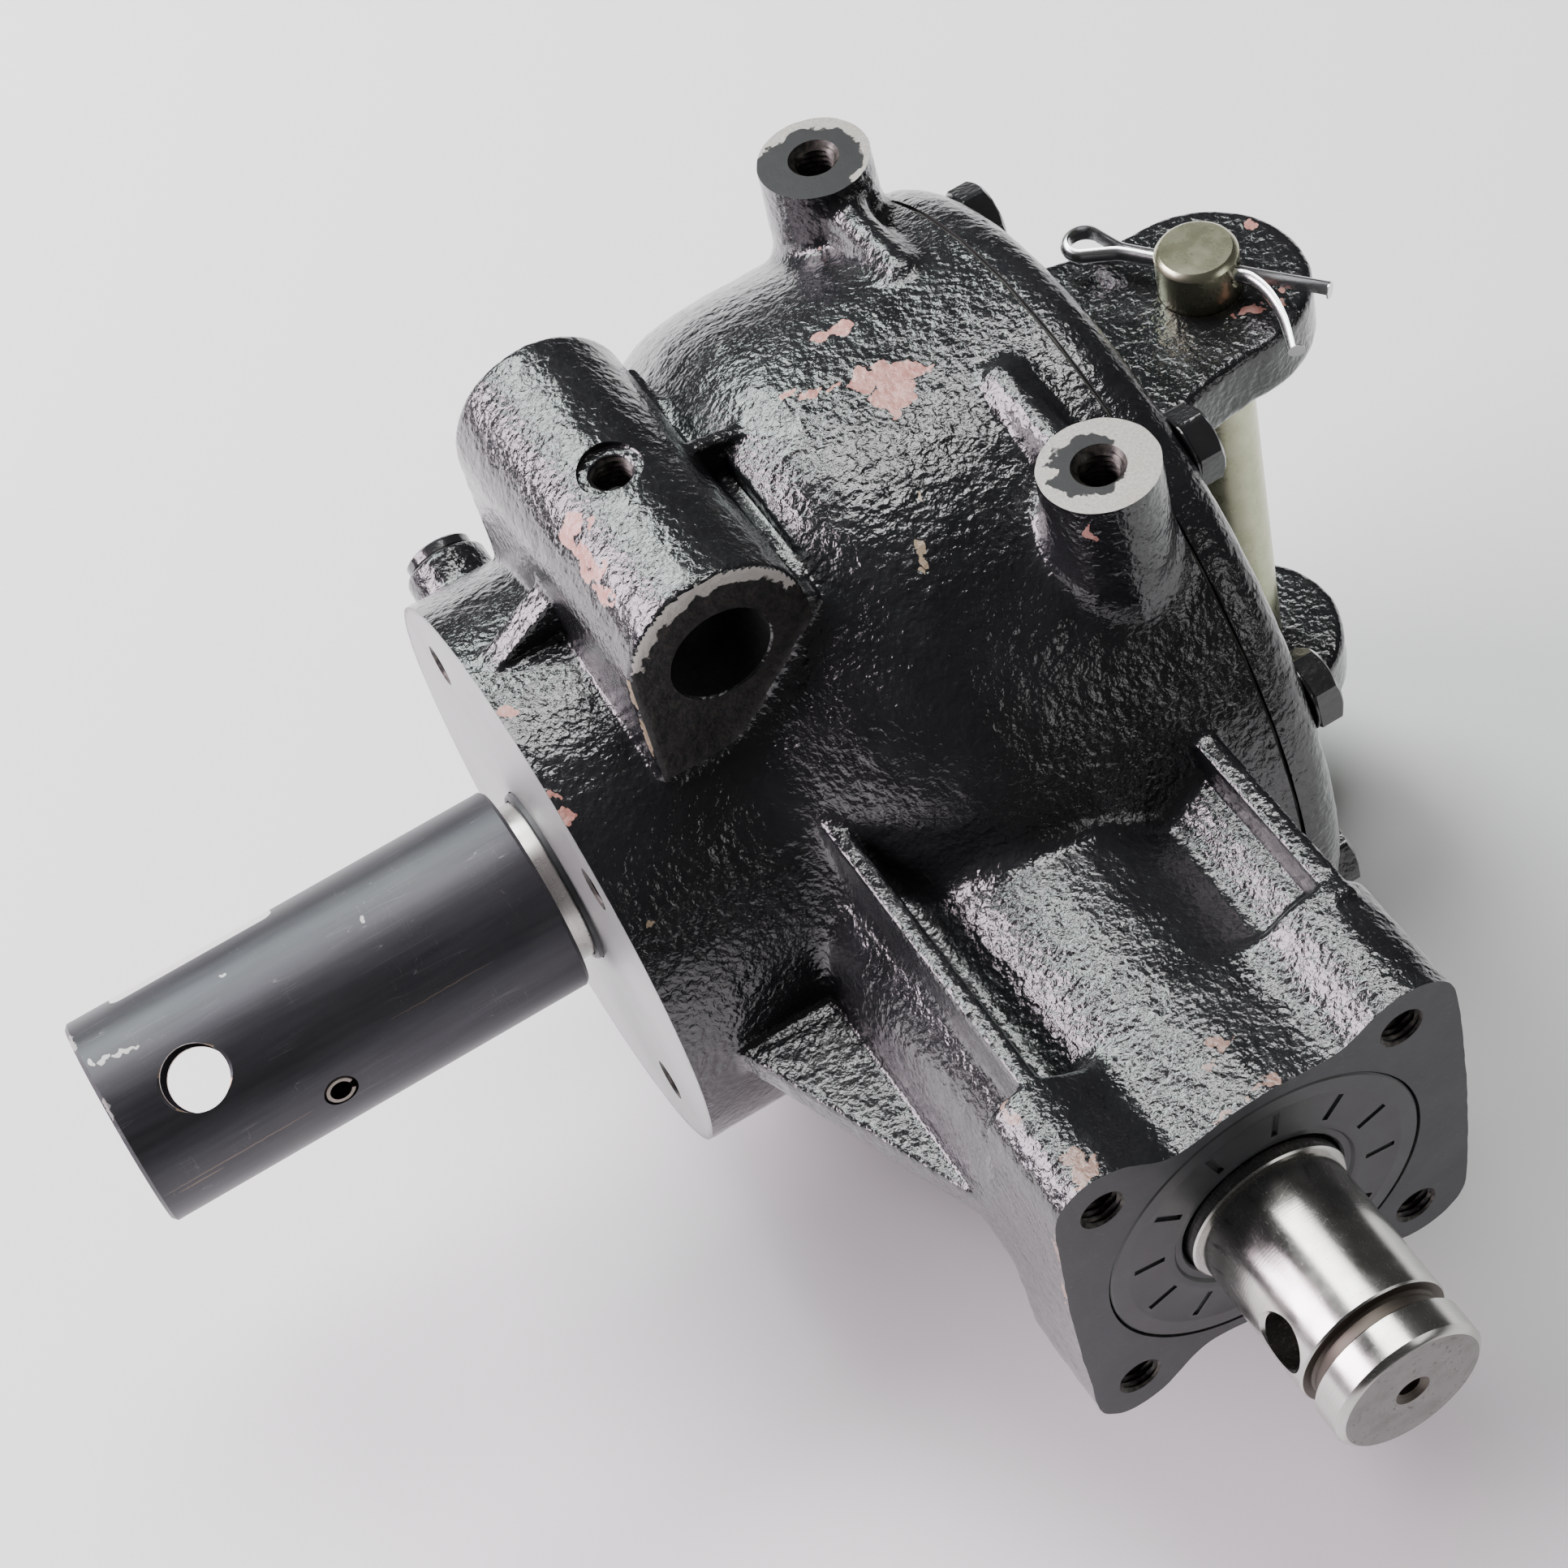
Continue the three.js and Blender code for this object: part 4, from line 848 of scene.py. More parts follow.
def dark_bore_mat():
    M = Mat("bore_and_thread")
    n = M.noise(600, 3)
    col = M.mix(M.ramp(n, [(0.35, 0.0), (0.7, 1.0)]), (0.022, 0.021, 0.020), (0.10, 0.09, 0.08))
    M.set(Base_Color=col, Roughness=0.42, Metallic=0.8, Normal=M.bump(n, 0.0001, 0.4))
    return M.m

def black_inside_mat():
    M = Mat("raw_casting_inside")
    n = M.noise(500, 3)
    M.set(Base_Color=M.mix(n, (0.02, 0.02, 0.021), (0.05, 0.048, 0.046)), Roughness=0.6, Metallic=0.0, Normal=M.bump(n, 0.0006, 0.5))
    return M.m

def socket_face_mat():
    """socket end: painted, with a bare edge worn along the top"""
    M = Mat("socket_end_face")
    nz = M.vmath("SCALE", M.vmath("SUBTRACT", M.noisec(300, 3), (0.5, 0.5, 0.5)), 0.006)
    p = M.vmath("ADD", M.co, nz)
    c = tuple(ORIGIN + np.array([-39.5, 0, 86.8]) / 1000)
    d = M.vmath("LENGTH", M.vmath("MULTIPLY", M.vmath("SUBTRACT", p, c), (1, 0, 1)))
    s = M.t.nodes.new("ShaderNodeSeparateXYZ")
    M.link(p, s.inputs[0])
    up = M.math("GREATER_THAN", s.outputs[2], float(ORIGIN[2] + 0.094))
    k = M.math("MULTIPLY", M.math("MULTIPLY", M.math("SUBTRACT", d, 0.0186), 2500.0, clamp=True), up)
    n = M.noise(520, 4, 0.6)
    blk = M.mix(M.ramp(n, [(0.4, 0.0), (0.72, 1.0)]), (0.006, 0.0062, 0.0066), (0.034, 0.027, 0.023))
    M.set(Base_Color=M.mix(k, blk, (0.56, 0.53, 0.49)), Roughness=M.mixf(k, 0.42, 0.45), Metallic=M.mixf(k, 0.0, 0.5), Normal=M.bump(n, 0.0005, 0.5))
    M.b.inputs["Specular IOR Level"].default_value = 0.35
    return M.m

def rubber_mat():
    M = Mat("seal_rubber")
    cloud, fine = M.noise(120, 3), M.noise(1800, 2)
    col = M.mix(M.ramp(cloud, [(0.3, 0.0), (0.7, 1.0)]), (0.030, 0.032, 0.033), (0.050, 0.053, 0.055))
    M.set(Base_Color=col, Roughness=M.mixf(cloud, 0.34, 0.48), Normal=M.bump(M.math("ADD", fine, cloud), 0.00006, 0.4))
    return M.m

# turned end face of the shaft: lathe rings, pits and stains on a base tone set far darker than the shaft's side steel,
# partly painted shade on this face
def turned_end_with_painted_shade_mat():
    M = Mat("shaft_turned_end_with_painted_shade")
    q = M.vmath("SUBTRACT", M.co, tuple(ORIGIN))
    d = M.vmath("LENGTH", M.vmath("MULTIPLY", q, (1, 0, 1)))
    w = M.t.nodes.new("ShaderNodeCombineXYZ")
    M.link(d, w.inputs[0])
    rings = M.noise(3600, 3, 0.6, co=w.outputs[0])
    pits = M.ramp(M.noise(620, 3, 0.6), [(0.60, 0.0), (0.68, 1.0)])
    cloud = M.noise(170, 4, 0.6)
    col = M.mix(M.ramp(rings, [(0.3, 0.0), (0.7, 1.0)]), (0.17, 0.168, 0.16), (0.245, 0.24, 0.23))
    col = M.mix(M.math("MULTIPLY", M.ramp(cloud, [(0.45, 0.0), (0.75, 1.0)]), 0.5), col, (0.12, 0.115, 0.105))
    col = M.mix(M.math("MULTIPLY", pits, 0.6), col, (0.05, 0.045, 0.04))
    M.set(Base_Color=col, Roughness=M.mixf(cloud, 0.38, 0.55), Metallic=0.85, Normal=M.bump(M.math("SUBTRACT", rings, pits), 0.00007, 0.5))
    return M.m

# groove and centre drill hole: unpolished dark steel, its dark base colour partly painted shade in these recesses
def recess_dark_steel_and_painted_shade_mat():
    M = Mat("shaft_recess_dark_steel_and_painted_shade")
    n = along_axis(M, "y", 3000)
    M.set(Base_Color=M.mix(n, (0.05, 0.042, 0.034), (0.15, 0.13, 0.11)), Roughness=0.5, Metallic=0.8, Normal=M.bump(n, 0.00006, 0.5))
    return M.m

def oxide_mat():
    """black-oxide sleeve: satin dark steel with rub marks along it and a few long scratches"""
    M = Mat("sleeve_black_oxide")
    streak = M.noise(60, 4, 0.6, co=M.mapping(scale=(0.6, 7, 7)))
    ringm = along_axis(M, "x", 1500)
    cloud = M.noise(28, 4, 0.55)
    col = M.mix(M.ramp(streak, [(0.35, 0.0), (0.7, 1.0)]), (0.040, 0.040, 0.046), (0.056, 0.056, 0.064))
    col = M.mix(M.math("MULTIPLY", M.ramp(cloud, [(0.48, 0.0), (0.75, 1.0)]), 0.35), col, (0.075, 0.073, 0.074))
    s1 = M.noise(22, 1, 0.4, co=M.mapping(scale=(1, 16, 16), rot=(0, 0.12, 0.1)))
    l1 = M.ramp(s1, [(0.497, 0.0), (0.5, 1.0), (0.503, 0.0)])
    s2 = M.noise(40, 1, 0.4, co=M.mapping(scale=(14, 3, 3), rot=(0.3, 0.5, 0.9)))
    l2 = M.ramp(s2, [(0.498, 0.0), (0.5, 1.0), (0.502, 0.0)])
    sc = M.math("MULTIPLY", M.math("ADD", l1, M.math("MULTIPLY", l2, 0.6), clamp=True), M.ramp(M.noise(90, 2), [(0.5, 0.0), (0.6, 0.7)]))
    col = M.mix(sc, col, (0.20, 0.20, 0.20))
    rough = M.mixf(streak, 0.36, 0.47)
    scuff = M.blobs([(-194.0, -1.0, 25.3, 0.9, 1.6, 2), (-191.0, -2.0, 25.2, 1.8, 0.8, 2), (-186.6, -2.8, 25.1, 2.6, 0.7, 2), (-183.6, -3.2, 25.0, 1.0, 0.5, 2), (-127.2, -3.6, 25.0, 0.7, 1.3, 2), (-160.0, 2.0, 25.2, 0.6, 0.5, 2), (-195.4, -12.0, 22.2, 0.7, 3.0, 3), (-195.6, 8.0, 24.0, 0.6, 3.4, 2)], wobble=0.0035, scale=420)
    col = M.mix(M.math("MULTIPLY", scuff, 0.75), col, (0.42, 0.40, 0.39))
    line = M.blobs([(-176.0, -25.1, 2.0, 20.0, 2, 0.16), (-186.0, -25.2, 0.4, 6.0, 2, 0.22), (-120.0, -22.0, 12.5, 14.0, 2, 0.10)], wobble=0.0008, scale=300)
    col = M.mix(M.math("MULTIPLY", line, 0.7), col, (0.20, 0.15, 0.11))
    # a blank pale stock label, rounded corners, stuck round the back of the top
    q = M.vmath("SUBTRACT", M.co, tuple(ORIGIN))
    s = M.t.nodes.new("ShaderNodeSeparateXYZ")
    M.link(q, s.inputs[0])
    ang = M.math("ARCTAN2", s.outputs[1], s.outputs[2])
    u = M.math("MAXIMUM", M.math("SUBTRACT", M.math("ABSOLUTE", M.math("ADD", s.outputs[0], 0.1640)), 0.0180), 0.0)
    v = M.math("MAXIMUM", M.math("SUBTRACT", M.math("ABSOLUTE", M.math("MULTIPLY", M.math("SUBTRACT", ang, R(57)), 0.0254)), 0.0085), 0.0)
    dd = M.math("SQRT", M.math("ADD", M.math("MULTIPLY", u, u), M.math("MULTIPLY", v, v)))
    lab = M.math("MULTIPLY", M.math("MULTIPLY", M.math("SUBTRACT", 0.0025, dd), 9000.0, clamp=True), M.math("GREATER_THAN", M.vmath("LENGTH", M.vmath("MULTIPLY", q, (0, 1, 1))), 0.0251))
    col = M.mix(lab, col, (0.62, 0.61, 0.58))
    rough = M.mixf(lab, rough, 0.55)
    M.set(Base_Color=col, Roughness=rough, Metallic=M.mixf(lab, 0.55, 0.0), Normal=M.bump(M.math("ADD", M.math("ADD", M.math("MULTIPLY", ringm, 0.5), M.math("MULTIPLY", streak, 0.7)), M.math("MULTIPLY", lab, 1.5)), 0.00005, 0.5))
    return M.m

def zinc_mat(name, a, b, rough, bumpd=0.00008):
    M = Mat(name)
    n, f = M.noise(140, 4, 0.6), M.noise(1400, 2)
    M.set(Base_Color=M.mix(M.ramp(n, [(0.3, 0.0), (0.7, 1.0)]), a, b), Roughness=M.mixf(n, rough * 0.8, rough * 1.35), Metallic=1.0, Normal=M.bump(M.math("ADD", n, M.math("MULTIPLY", f, 0.4)), bumpd, 0.5))
    return M.m

def gasket_mat():
    M = Mat("gasket_edge")
    n = M.noise(900, 3)
    M.set(Base_Color=M.mix(n, (0.015, 0.015, 0.014), (0.05, 0.047, 0.04)), Roughness=0.75, Normal=M.bump(n, 0.0003, 0.5))
    return M.m

# worn spots, (x, y, z, reach along x, y, z) in mm about the axes' crossing
CHIPS = [(18.0, -3.5, 100, 3.6, 3.2, 4), (23.4, -6.5, 100, 5.4, 4.6, 4), (28.6, -8.6, 100, 4.0, 2.3, 4), (20.0, -11.0, 99.5, 3.9, 4.2, 4), (24.0, -11.6, 99.5, 2.8, 3.0, 4), (18.6, -15.0, 99.2, 1.6, 2.6, 4),
         (17.8, 14.6, 99.2, 2.6, 1.9, 4), (21.6, 13.6, 99.4, 3.4, 2.1, 4), (3.4, 4.0, 99.6, 2.2, 1.3, 4), (7.2, 1.6, 99.8, 3.0, 1.5, 4), (12.0, -1.6, 99.9, 1.5, 0.9, 4),
         (-51.6, -4.0, 105.6, 2.2, 3.2, 2.6), (-54.2, -6.6, 103.4, 2.0, 4.2, 2.6), (-53.4, -11.0, 104.0, 2.0, 4.0, 2.6), (-54.8, -15.5, 102.8, 1.8, 3.0, 2.4), (-53.0, -18.6, 104.3, 1.2, 2.0, 1.6), (-54.9, -22.4, 102.7, 1.4, 3.4, 1.8), (-55.6, -26.6, 101.8, 0.9, 1.7, 1.2),
         (-48.6, -8.4, 107.2, 0.9, 1.4, 1.0), (-80.6, -10.1, 69.8, 1.6, 1.3, 1.6), (-81.4, -35.4, 60.5, 1.5, 2.2, 2.0), (-81.6, -30.5, 63.2, 1.0, 1.4, 1.2), (33.4, -68.4, 98.0, 1.2, 1.2, 2.2), (35.6, 47.2, 88.0, 1.8, 1.6, 2.0)]
KNOCKS = [(-40.3, -141.2, 46.0, 1.1, 1.5, 1.6), (-41.0, -144.6, 45.6, 1.0, 2.2, 1.6), (-36.2, -160.4, 47.0, 2.0, 2.2, 2.0), (-36.0, -164.4, 46.9, 2.6, 2.4, 2.0), (-38.8, -166.2, 46.4, 1.6, 1.0, 2.2), (-33.0, -163.4, 47.0, 1.1, 1.4, 1.6),
          (2.4, -151.0, 41.4, 1.7, 1.5, 2.0), (3.6, -153.2, 41.0, 1.9, 1.6, 2.0), (-1.8, -155.4, 41.0, 1.5, 1.2, 2.0), (2.2, -164.6, 40.8, 2.6, 1.3, 2.0), (6.0, -165.4, 41.0, 2.2, 1.0, 2.0), (-6.0, -165.8, 40.6, 1.8, 0.9, 2.0),
          (-46.6, -165.8, 12.0, 1.0, 1.2, 6.0), (-47.0, -166.2, 30.0, 1.2, 0.9, 8.0), (49.4, -166.4, 26.0, 1.0, 0.8, 10.0)]
SCARS = [(6.9, -43.2, 89.9, 1.0, 2.2, 1.6), (5.6, -45.4, 88.8, 0.75, 2.6, 1.6), (4.6, -47.4, 87.8, 0.4, 1.4, 1.2), (12.4, -34.4, 94.0, 0.4, 1.8, 1.0), (-77.6, -56.6, 41.5, 0.9, 0.8, 0.8), (-24.0, -50.0, 82.0, 0.5, 0.5, 0.6), (10.0, -60.0, 78.0, 0.5, 0.5, 0.6),
         (-58.4, -38.6, 62.0, 0.7, 1.2, 4.0), (-60.2, -38.4, 74.0, 0.7, 0.9, 7.0), (-60.0, -38.4, 88.0, 0.8, 0.9, 5.0)]
CHIPS_COVER = [(113.4, -15.4, 70.0, 1.3, 1.7, 2), (116.4, -13.4, 70.0, 1.0, 1.4, 2), (107.6, -13.0, 70.0, 2.2, 1.6, 2), (104.0, -12.4, 70.0, 1.4, 1.1, 2), (123.0, 8.0, 69.0, 1.2, 1.4, 2)]

# ------------------------------------------------------------------ the castings
def band(c, n, axis, val, tol=0.06, s=0):
    """faces lying on the plane axis = val and facing along s * axis"""
    return (np.abs(c[:, axis] - val) < tol) & (n[:, axis] * s > 0.98)

mat_paint = paint("black_enamel_on_casting", CHIPS, KNOCKS, SCARS)
mat_cover = paint("black_enamel_on_cover", CHIPS_COVER)
mat_bore, mat_inside = dark_bore_mat(), black_inside_mat()

housing = build_housing()
housing.data.materials.clear()
for m in (mat_paint, ring_face_mat(), flange_face_mat(), boss_top_mat(), mat_bore, mat_inside, socket_face_mat()):
    housing.data.materials.append(m)
def in_tap(c, n):
    r = np.full(len(c), 99.0)
    for sx in (1, -1):
        for sz in (1, -1):
            r = np.where(c[:, 1] < -143.5, np.minimum(r, np.hypot(c[:, 0] - 35.4 * sx, c[:, 2] - 35.4 * sz) / 5.25 * 5.3), r)
    ok = (r < 5.3) & (c[:, 1] > -166.995)
    for sz in (1, -1):
        for sy in (1, -1):
            ok |= (np.hypot(c[:, 0] - 42.3, c[:, 1] - 59 * sy) < 6.0) & (c[:, 2] * sz > 77) & (c[:, 2] * sz < 103.995)
    ok |= (np.hypot(c[:, 0] + 39.5, c[:, 1] - 1) < 5.1) & (c[:, 2] > 92) & (c[:, 2] < 107.2)
    for a in (45, 135, 225, 315):
        y, z = polar(55, a)
        ok |= (np.hypot(c[:, 1] - y, c[:, 2] - z) < 5.3) & (c[:, 0] > -82.69) & (c[:, 0] < -60)
    return ok
def inner(c, n):
    """inside faces: near an axis and facing it, or a step inside a bore"""
    r = np.hypot(c[:, 1], c[:, 2])
    cav = (r < np.interp(c[:, 0], [-83, -66.6, -66.4, -46.1, -45.9, -28, -8, 2, 56], [22.2, 31.4, 40.3, 40.3, 52.5, 64.6, 82.6, 86.6, 86.6])) & (c[:, 0] > -82.6) & (c[:, 0] < 55.4) & (np.abs(c[:, 1]) < 90)
    facing = (c[:, 1] * n[:, 1] + c[:, 2] * n[:, 2] < 0.2 * r) | (np.abs(n[:, 0]) > 0.9)
    q = np.hypot(c[:, 0], c[:, 2])
    neck = (q < 38.5) & (c[:, 1] > -166.9) & (c[:, 1] < -40) & ((c[:, 0] * n[:, 0] + c[:, 2] * n[:, 2] < -0.5 * q) | ((np.abs(n[:, 1]) > 0.98) & (c[:, 1] < -150)))
    bore = (np.hypot(c[:, 0] + 39.5, c[:, 2] - 86.5) < 11.7) & (c[:, 1] > -41) & (c[:, 1] < 48)
    return (cav & facing) | neck | bore
mark(housing, [
    (5, inner),
    (1, lambda c, n: band(c, n, 0, -82.7, s=-1)),
    (2, lambda c, n: band(c, n, 1, -167, s=-1)),
    (3, lambda c, n: band(c, n, 2, 104, s=1) & (np.abs(c[:, 0] - 42.3) < 14.5)),
    (3, lambda c, n: band(c, n, 2, -104, s=-1)),
    (4, in_tap),
    (6, lambda c, n: (c[:, 1] < -38.2) & (c[:, 1] > -39.6) & (n[:, 1] < -0.9) & (c[:, 2] > 55) & (np.abs(c[:, 0] + 39.5) < 21.4)),
])
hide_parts("gear_housing"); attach(housing, "housing")

cover = build_cover()
cover.data.materials.clear()
for m in (mat_cover, mat_bore, mat_inside):
    cover.data.materials.append(m)
mark(cover, [
    (1, lambda c, n: (np.hypot(c[:, 0] - 102.7, c[:, 1]) < 9.8) & (np.abs(c[:, 2]) < 71)),
    (2, lambda c, n: (c[:, 0] < 56.6) | ((c[:, 0] < 61.4) & (np.hypot(c[:, 1], c[:, 2]) < 44.2))),
])
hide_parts("rear_cover"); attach(cover, "housing")

# ------------------------------------------------------------------ cover bolts
mat_bolt = paint("bolt_black_paint", peel=0.35, tone=(0.016, 0.016, 0.017))
for i, a in enumerate(BOLTS):
    y, z = polar(88.5, a)
    head = hexagon("bolt_head", 16.0, 6.6, 0.6, (68.75, y, z), (1, 0, 0), turn=R(17 * i + 8))
    washer = turned("w", [(68.14, 5), (68.14, 8.3), (68.34, 8.55), (68.7, 8.55), (68.85, 8.3), (68.85, 5)], "x", 64, closed=True, centre=(0, y, z))
    shank = turned("s", [(36, 0), (36, 3.9), (37, 4.9), (69, 4.9), (69, 0)], "x", 32, centre=(0, y, z))
    b = joined(f"painted_bolt_{i + 1}", [head, washer, shank])
    sharpen(b, 28)
    b.data.materials.clear()
    b.data.materials.append(mat_bolt)
    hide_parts(f"cover_bolt_{i + 1}"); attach(b, "housing")

mat_gear = steel("gear_oiled_steel", (0.44, 0.43, 0.41), 0.3, ring="x")

# ------------------------------------------------------------------ input oil seal
seal = turned("input_seal_ring", [(-166.9, 24.0), (-166.85, 32.9), (-167.0, 33.2), (-167.0, 33.8), (-167.0, 37.3), (-166.6, 37.75), (-157.7, 37.75), (-157.7, 30), (-163.6, 30), (-163.6, 22),
                                 (-159, 20.9), (-159, 19.4), (-160.4, 19.3), (-162.4, 19.5), (-165.4, 19.6), (-165.9, 20.1), (-166.0, 21.6), (-166.7, 22.2), (-166.95, 23.2)], "y", 160, closed=True)
slots = []
for i in range(12):
    a = R(i * 30 + 20.6)
    slots.append(along("cutter", (24.8 * math.cos(a), -166.75, 24.8 * math.sin(a)), (32.0 * math.cos(a), -166.75, 32.0 * math.sin(a)), [(0, 0), (0, 0.8), (7.2, 0.8), (7.2, 0)], 12))
boolean(seal, slots)
sharpen(seal, 30)
seal.data.materials.clear()
seal.data.materials.append(rubber_mat())
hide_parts("input_oil_seal"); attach(seal, "housing")

oseal = turned("output_seal_ring", [(-84.15, 20.35), (-84.2, 21.2), (-83.8, 21.65), (-82.2, 21.7), (-75.6, 21.7), (-75.55, 30.6), (-67.3, 30.6), (-67.3, 27.6), (-73.4, 27.6), (-73.4, 22.8), (-69.6, 21.8), (-69.6, 20.35), (-83.0, 20.35)], "x", 128, closed=True)
sharpen(oseal, 30)
oseal.data.materials.clear()
oseal.data.materials.append(seal.data.materials[0])
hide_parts("output_oil_seal"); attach(oseal, "housing")

# ------------------------------------------------------------------ input shaft: turned outer end on the pinion's own shaft
shaft = turned("input_shaft_and_pinion", [(-160, 0), (-160, 18.9), (-168.3, 18.9), (-168.7, 18.5), (-168.8, 17.4), (-204.0, 17.4), (-204.4, 17.0), (-204.7, 15.2), (-205.4, 14.8), (-207.8, 14.8), (-208.5, 15.2), (-208.7, 16.9), (-209.1, 17.35),
                                          (-216.0, 17.35), (-217.1, 16.4), (-217.4, 15.9), (-217.4, 4.0), (-216.2, 2.6), (-212, 2.5), (-211, 0)], "y", 160)
t17 = R(17)
h = (-math.cos(t17), 0, math.sin(t17))
boolean(shaft, [along("cutter", (-26 * h[0], -196.2, -26 * h[2]), (26 * h[0], -196.2, 26 * h[2]),
                      [(0, 0), (0, 9.5), (8.3, 7.2), (9.6, 6.0), (42.4, 6.0), (43.7, 7.2), (52, 9.5), (52, 0)], 64)])
inner_part = bpy.data.objects.new("pinion_copy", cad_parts["input_pinion_shaft"].data.copy())
bpy.context.scene.collection.objects.link(inner_part)
fix_normals(inner_part)
boolean(inner_part, [block(-60, 60, -230, -160.6, -60, 60)])
shaft = joined("input_shaft_and_pinion", [shaft, inner_part])
shaft.data.materials.clear()
for m in (steel("ground_shaft_steel", (0.50, 0.49, 0.465), 0.19, marks="y", ring="y"), turned_end_with_painted_shade_mat(), recess_dark_steel_and_painted_shade_mat(), mat_gear):
    shaft.data.materials.append(m)
mark(shaft, [
    # slot 1: the end face, its darker tone partly painted shade
    (1, lambda c, n: (c[:, 1] < -211) & (n[:, 1] < -0.97)),
    # slot 2: the groove and the centre drill hole, dark steel partly painted as shade in these recesses
    (2, lambda c, n: (c[:, 1] < -204.42) & (c[:, 1] > -208.68) & (np.hypot(c[:, 0], c[:, 2]) < 17.1)),
    (2, lambda c, n: (c[:, 1] < -210) & (np.hypot(c[:, 0], c[:, 2]) < 3.9)),
    (3, lambda c, n: c[:, 1] > -80),
], 28)
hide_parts("input_pinion_shaft"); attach(shaft, "input")

# ------------------------------------------------------------------ output sleeve, its spring pin, and the output shaft
ra, ha = R(83.4), R(36.7)
roll = np.array([0, -math.sin(ra), math.cos(ra)])
hol = np.array([0, -math.sin(ha), math.cos(ha)])
sleeve = turned("drive_sleeve", [(-196.1, 21.2), (-196.1, 24.4), (-195.2, 25.4), (-89.2, 25.4), (-88.3, 24.5), (-88.3, 20.3), (-195.2, 20.3)], "x", 192, closed=True)
P = lambda x, v, s: (x, v[1] * s, v[2] * s)
boolean(sleeve, [along("cutter", P(-176, hol, -32), P(-176, hol, 32), [(0, 0), (0, 9.6), (6.2, 8.9), (7.3, 7.7), (56.7, 7.7), (57.8, 8.9), (64, 9.6), (64, 0)], 72),
                 hole(P(-149.8, roll, -32), P(-149.8, roll, 32), 4.12, 40)])
sleeve.data.materials.clear()
sleeve.data.materials.append(oxide_mat())
hole_mat = steel("sleeve_hole_wall", (0.30, 0.225, 0.16), 0.42, stain_amt=0.4)
sleeve.data.materials.append(hole_mat)
mark(sleeve, [(1, lambda c, n: (np.hypot(c[:, 0] + 176, c[:, 1] * hol[2] - c[:, 2] * hol[1]) < 8.0) & (np.abs(c[:, 1] * hol[1] + c[:, 2] * hol[2]) < 24.9))], 28)
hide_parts("output_sleeve"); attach(sleeve, "output")

def spring_pin():
    secs = []
    for s, dr in ((-25.2, 0.5), (-24.4, 0.0), (24.4, 0.0), (25.2, 0.5)):
        ring = [((3.95 - dr) * math.cos(R(t)), (3.95 - dr) * math.sin(R(t)), s) for t in np.linspace(20, 340, 41)]
        ring += [(2.6 * math.cos(R(t)), 2.6 * math.sin(R(t)), s) for t in np.linspace(340, 20, 41)]
        secs.append(ring)
    n = len(secs[0])
    verts = [p for r in secs for p in r]
    faces = []
    for k in range(3):
        for i in range(n):
            j = (i + 1) % n
            faces.append((k * n + i, k * n + j, (k + 1) * n + j, (k + 1) * n + i))
    for i in range(40):
        faces.append((i, i + 1, n - 2 - i, n - 1 - i))
        o = 3 * n
        faces.append((o + i + 1, o + i, o + n - 1 - i, o + n - 2 - i))
    ob = new_mesh("sleeve_roll_pin", np.array(verts) , faces)
    rot = Vector((0, 0, 1)).rotation_difference(Vector(roll)).to_matrix().to_4x4()
    o = Vector(ORIGIN)
    ob.data.transform(Matrix.Translation(o + Vector((-0.1498, 0, 0))) @ rot @ Matrix.Translation(-o))
    return fix_normals(ob)
pin = spring_pin()
sharpen(pin, 30)
pin.data.materials.clear()
pin.data.materials.append(steel("spring_pin_steel", (0.2, 0.18, 0.16), 0.4, stain_amt=0.3))
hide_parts("sleeve_spring_pin"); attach(pin, "output")

oshaft = turned("output_drive_shaft", [(-158, 0), (-158, 18.4), (-156.6, 20), (-48.2, 20), (-48.2, 24), (-38, 24), (-34, 21), (11, 21), (13, 27.5), (19.7, 27.5), (19.7, 21), (44.3, 21), (44.3, 20.6), (45.6, 20.6), (45.6, 17.5), (60.2, 17.5), (60.9, 16.6), (60.9, 0)], "x", 128)
boolean(oshaft, [hole(P(-149.8, roll, -32), P(-149.8, roll, 32), 4.12, 40), block(20.5, 44, -4.1, 4.1, 17.2, 30)])
sharpen(oshaft, 28)
oshaft.data.materials.clear()
oshaft.data.materials.append(steel("output_shaft_steel", (0.60, 0.585, 0.55), 0.25, marks="x", ring="x"))
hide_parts("output_shaft"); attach(oshaft, "output")

# ------------------------------------------------------------------ oil plugs
mat_plug = paint("plug_black_paint", peel=0.3, tone=(0.013, 0.013, 0.014))
def oil_plug(name, d, r0):
    p = lambda r: (-67, d[0] * r, d[1] * r)
    ob = along(name, p(r0 - 12), p(r0 + 4), [(0, 0), (0.6, 5.2), (1.2, 5.9), (12.3, 5.9), (12.3, 8.1), (12.6, 8.4), (14.7, 8.4), (15.2, 7.9), (15.2, 0)], 96)
    key = along("cutter", p(r0 - 1.3), p(r0 + 6), [(0, 0), (0, 3.7), (4.2, 3.7), (4.6, 4.1), (7.3, 4.1), (7.3, 0)], 6)
    boolean(ob, [key])
    sharpen(ob, 25)
    ob.data.materials.clear()
    ob.data.materials.append(mat_plug)
    return ob
for nm, node, d, r0 in (("fill_level_plug", "fill_plug", (math.cos(R(22)), math.sin(R(22))), 80.5), ("drain_oil_plug", "drain_plug", (0, -1), 78)):
    ob = oil_plug(nm, d, r0)
    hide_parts(node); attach(ob, "housing")

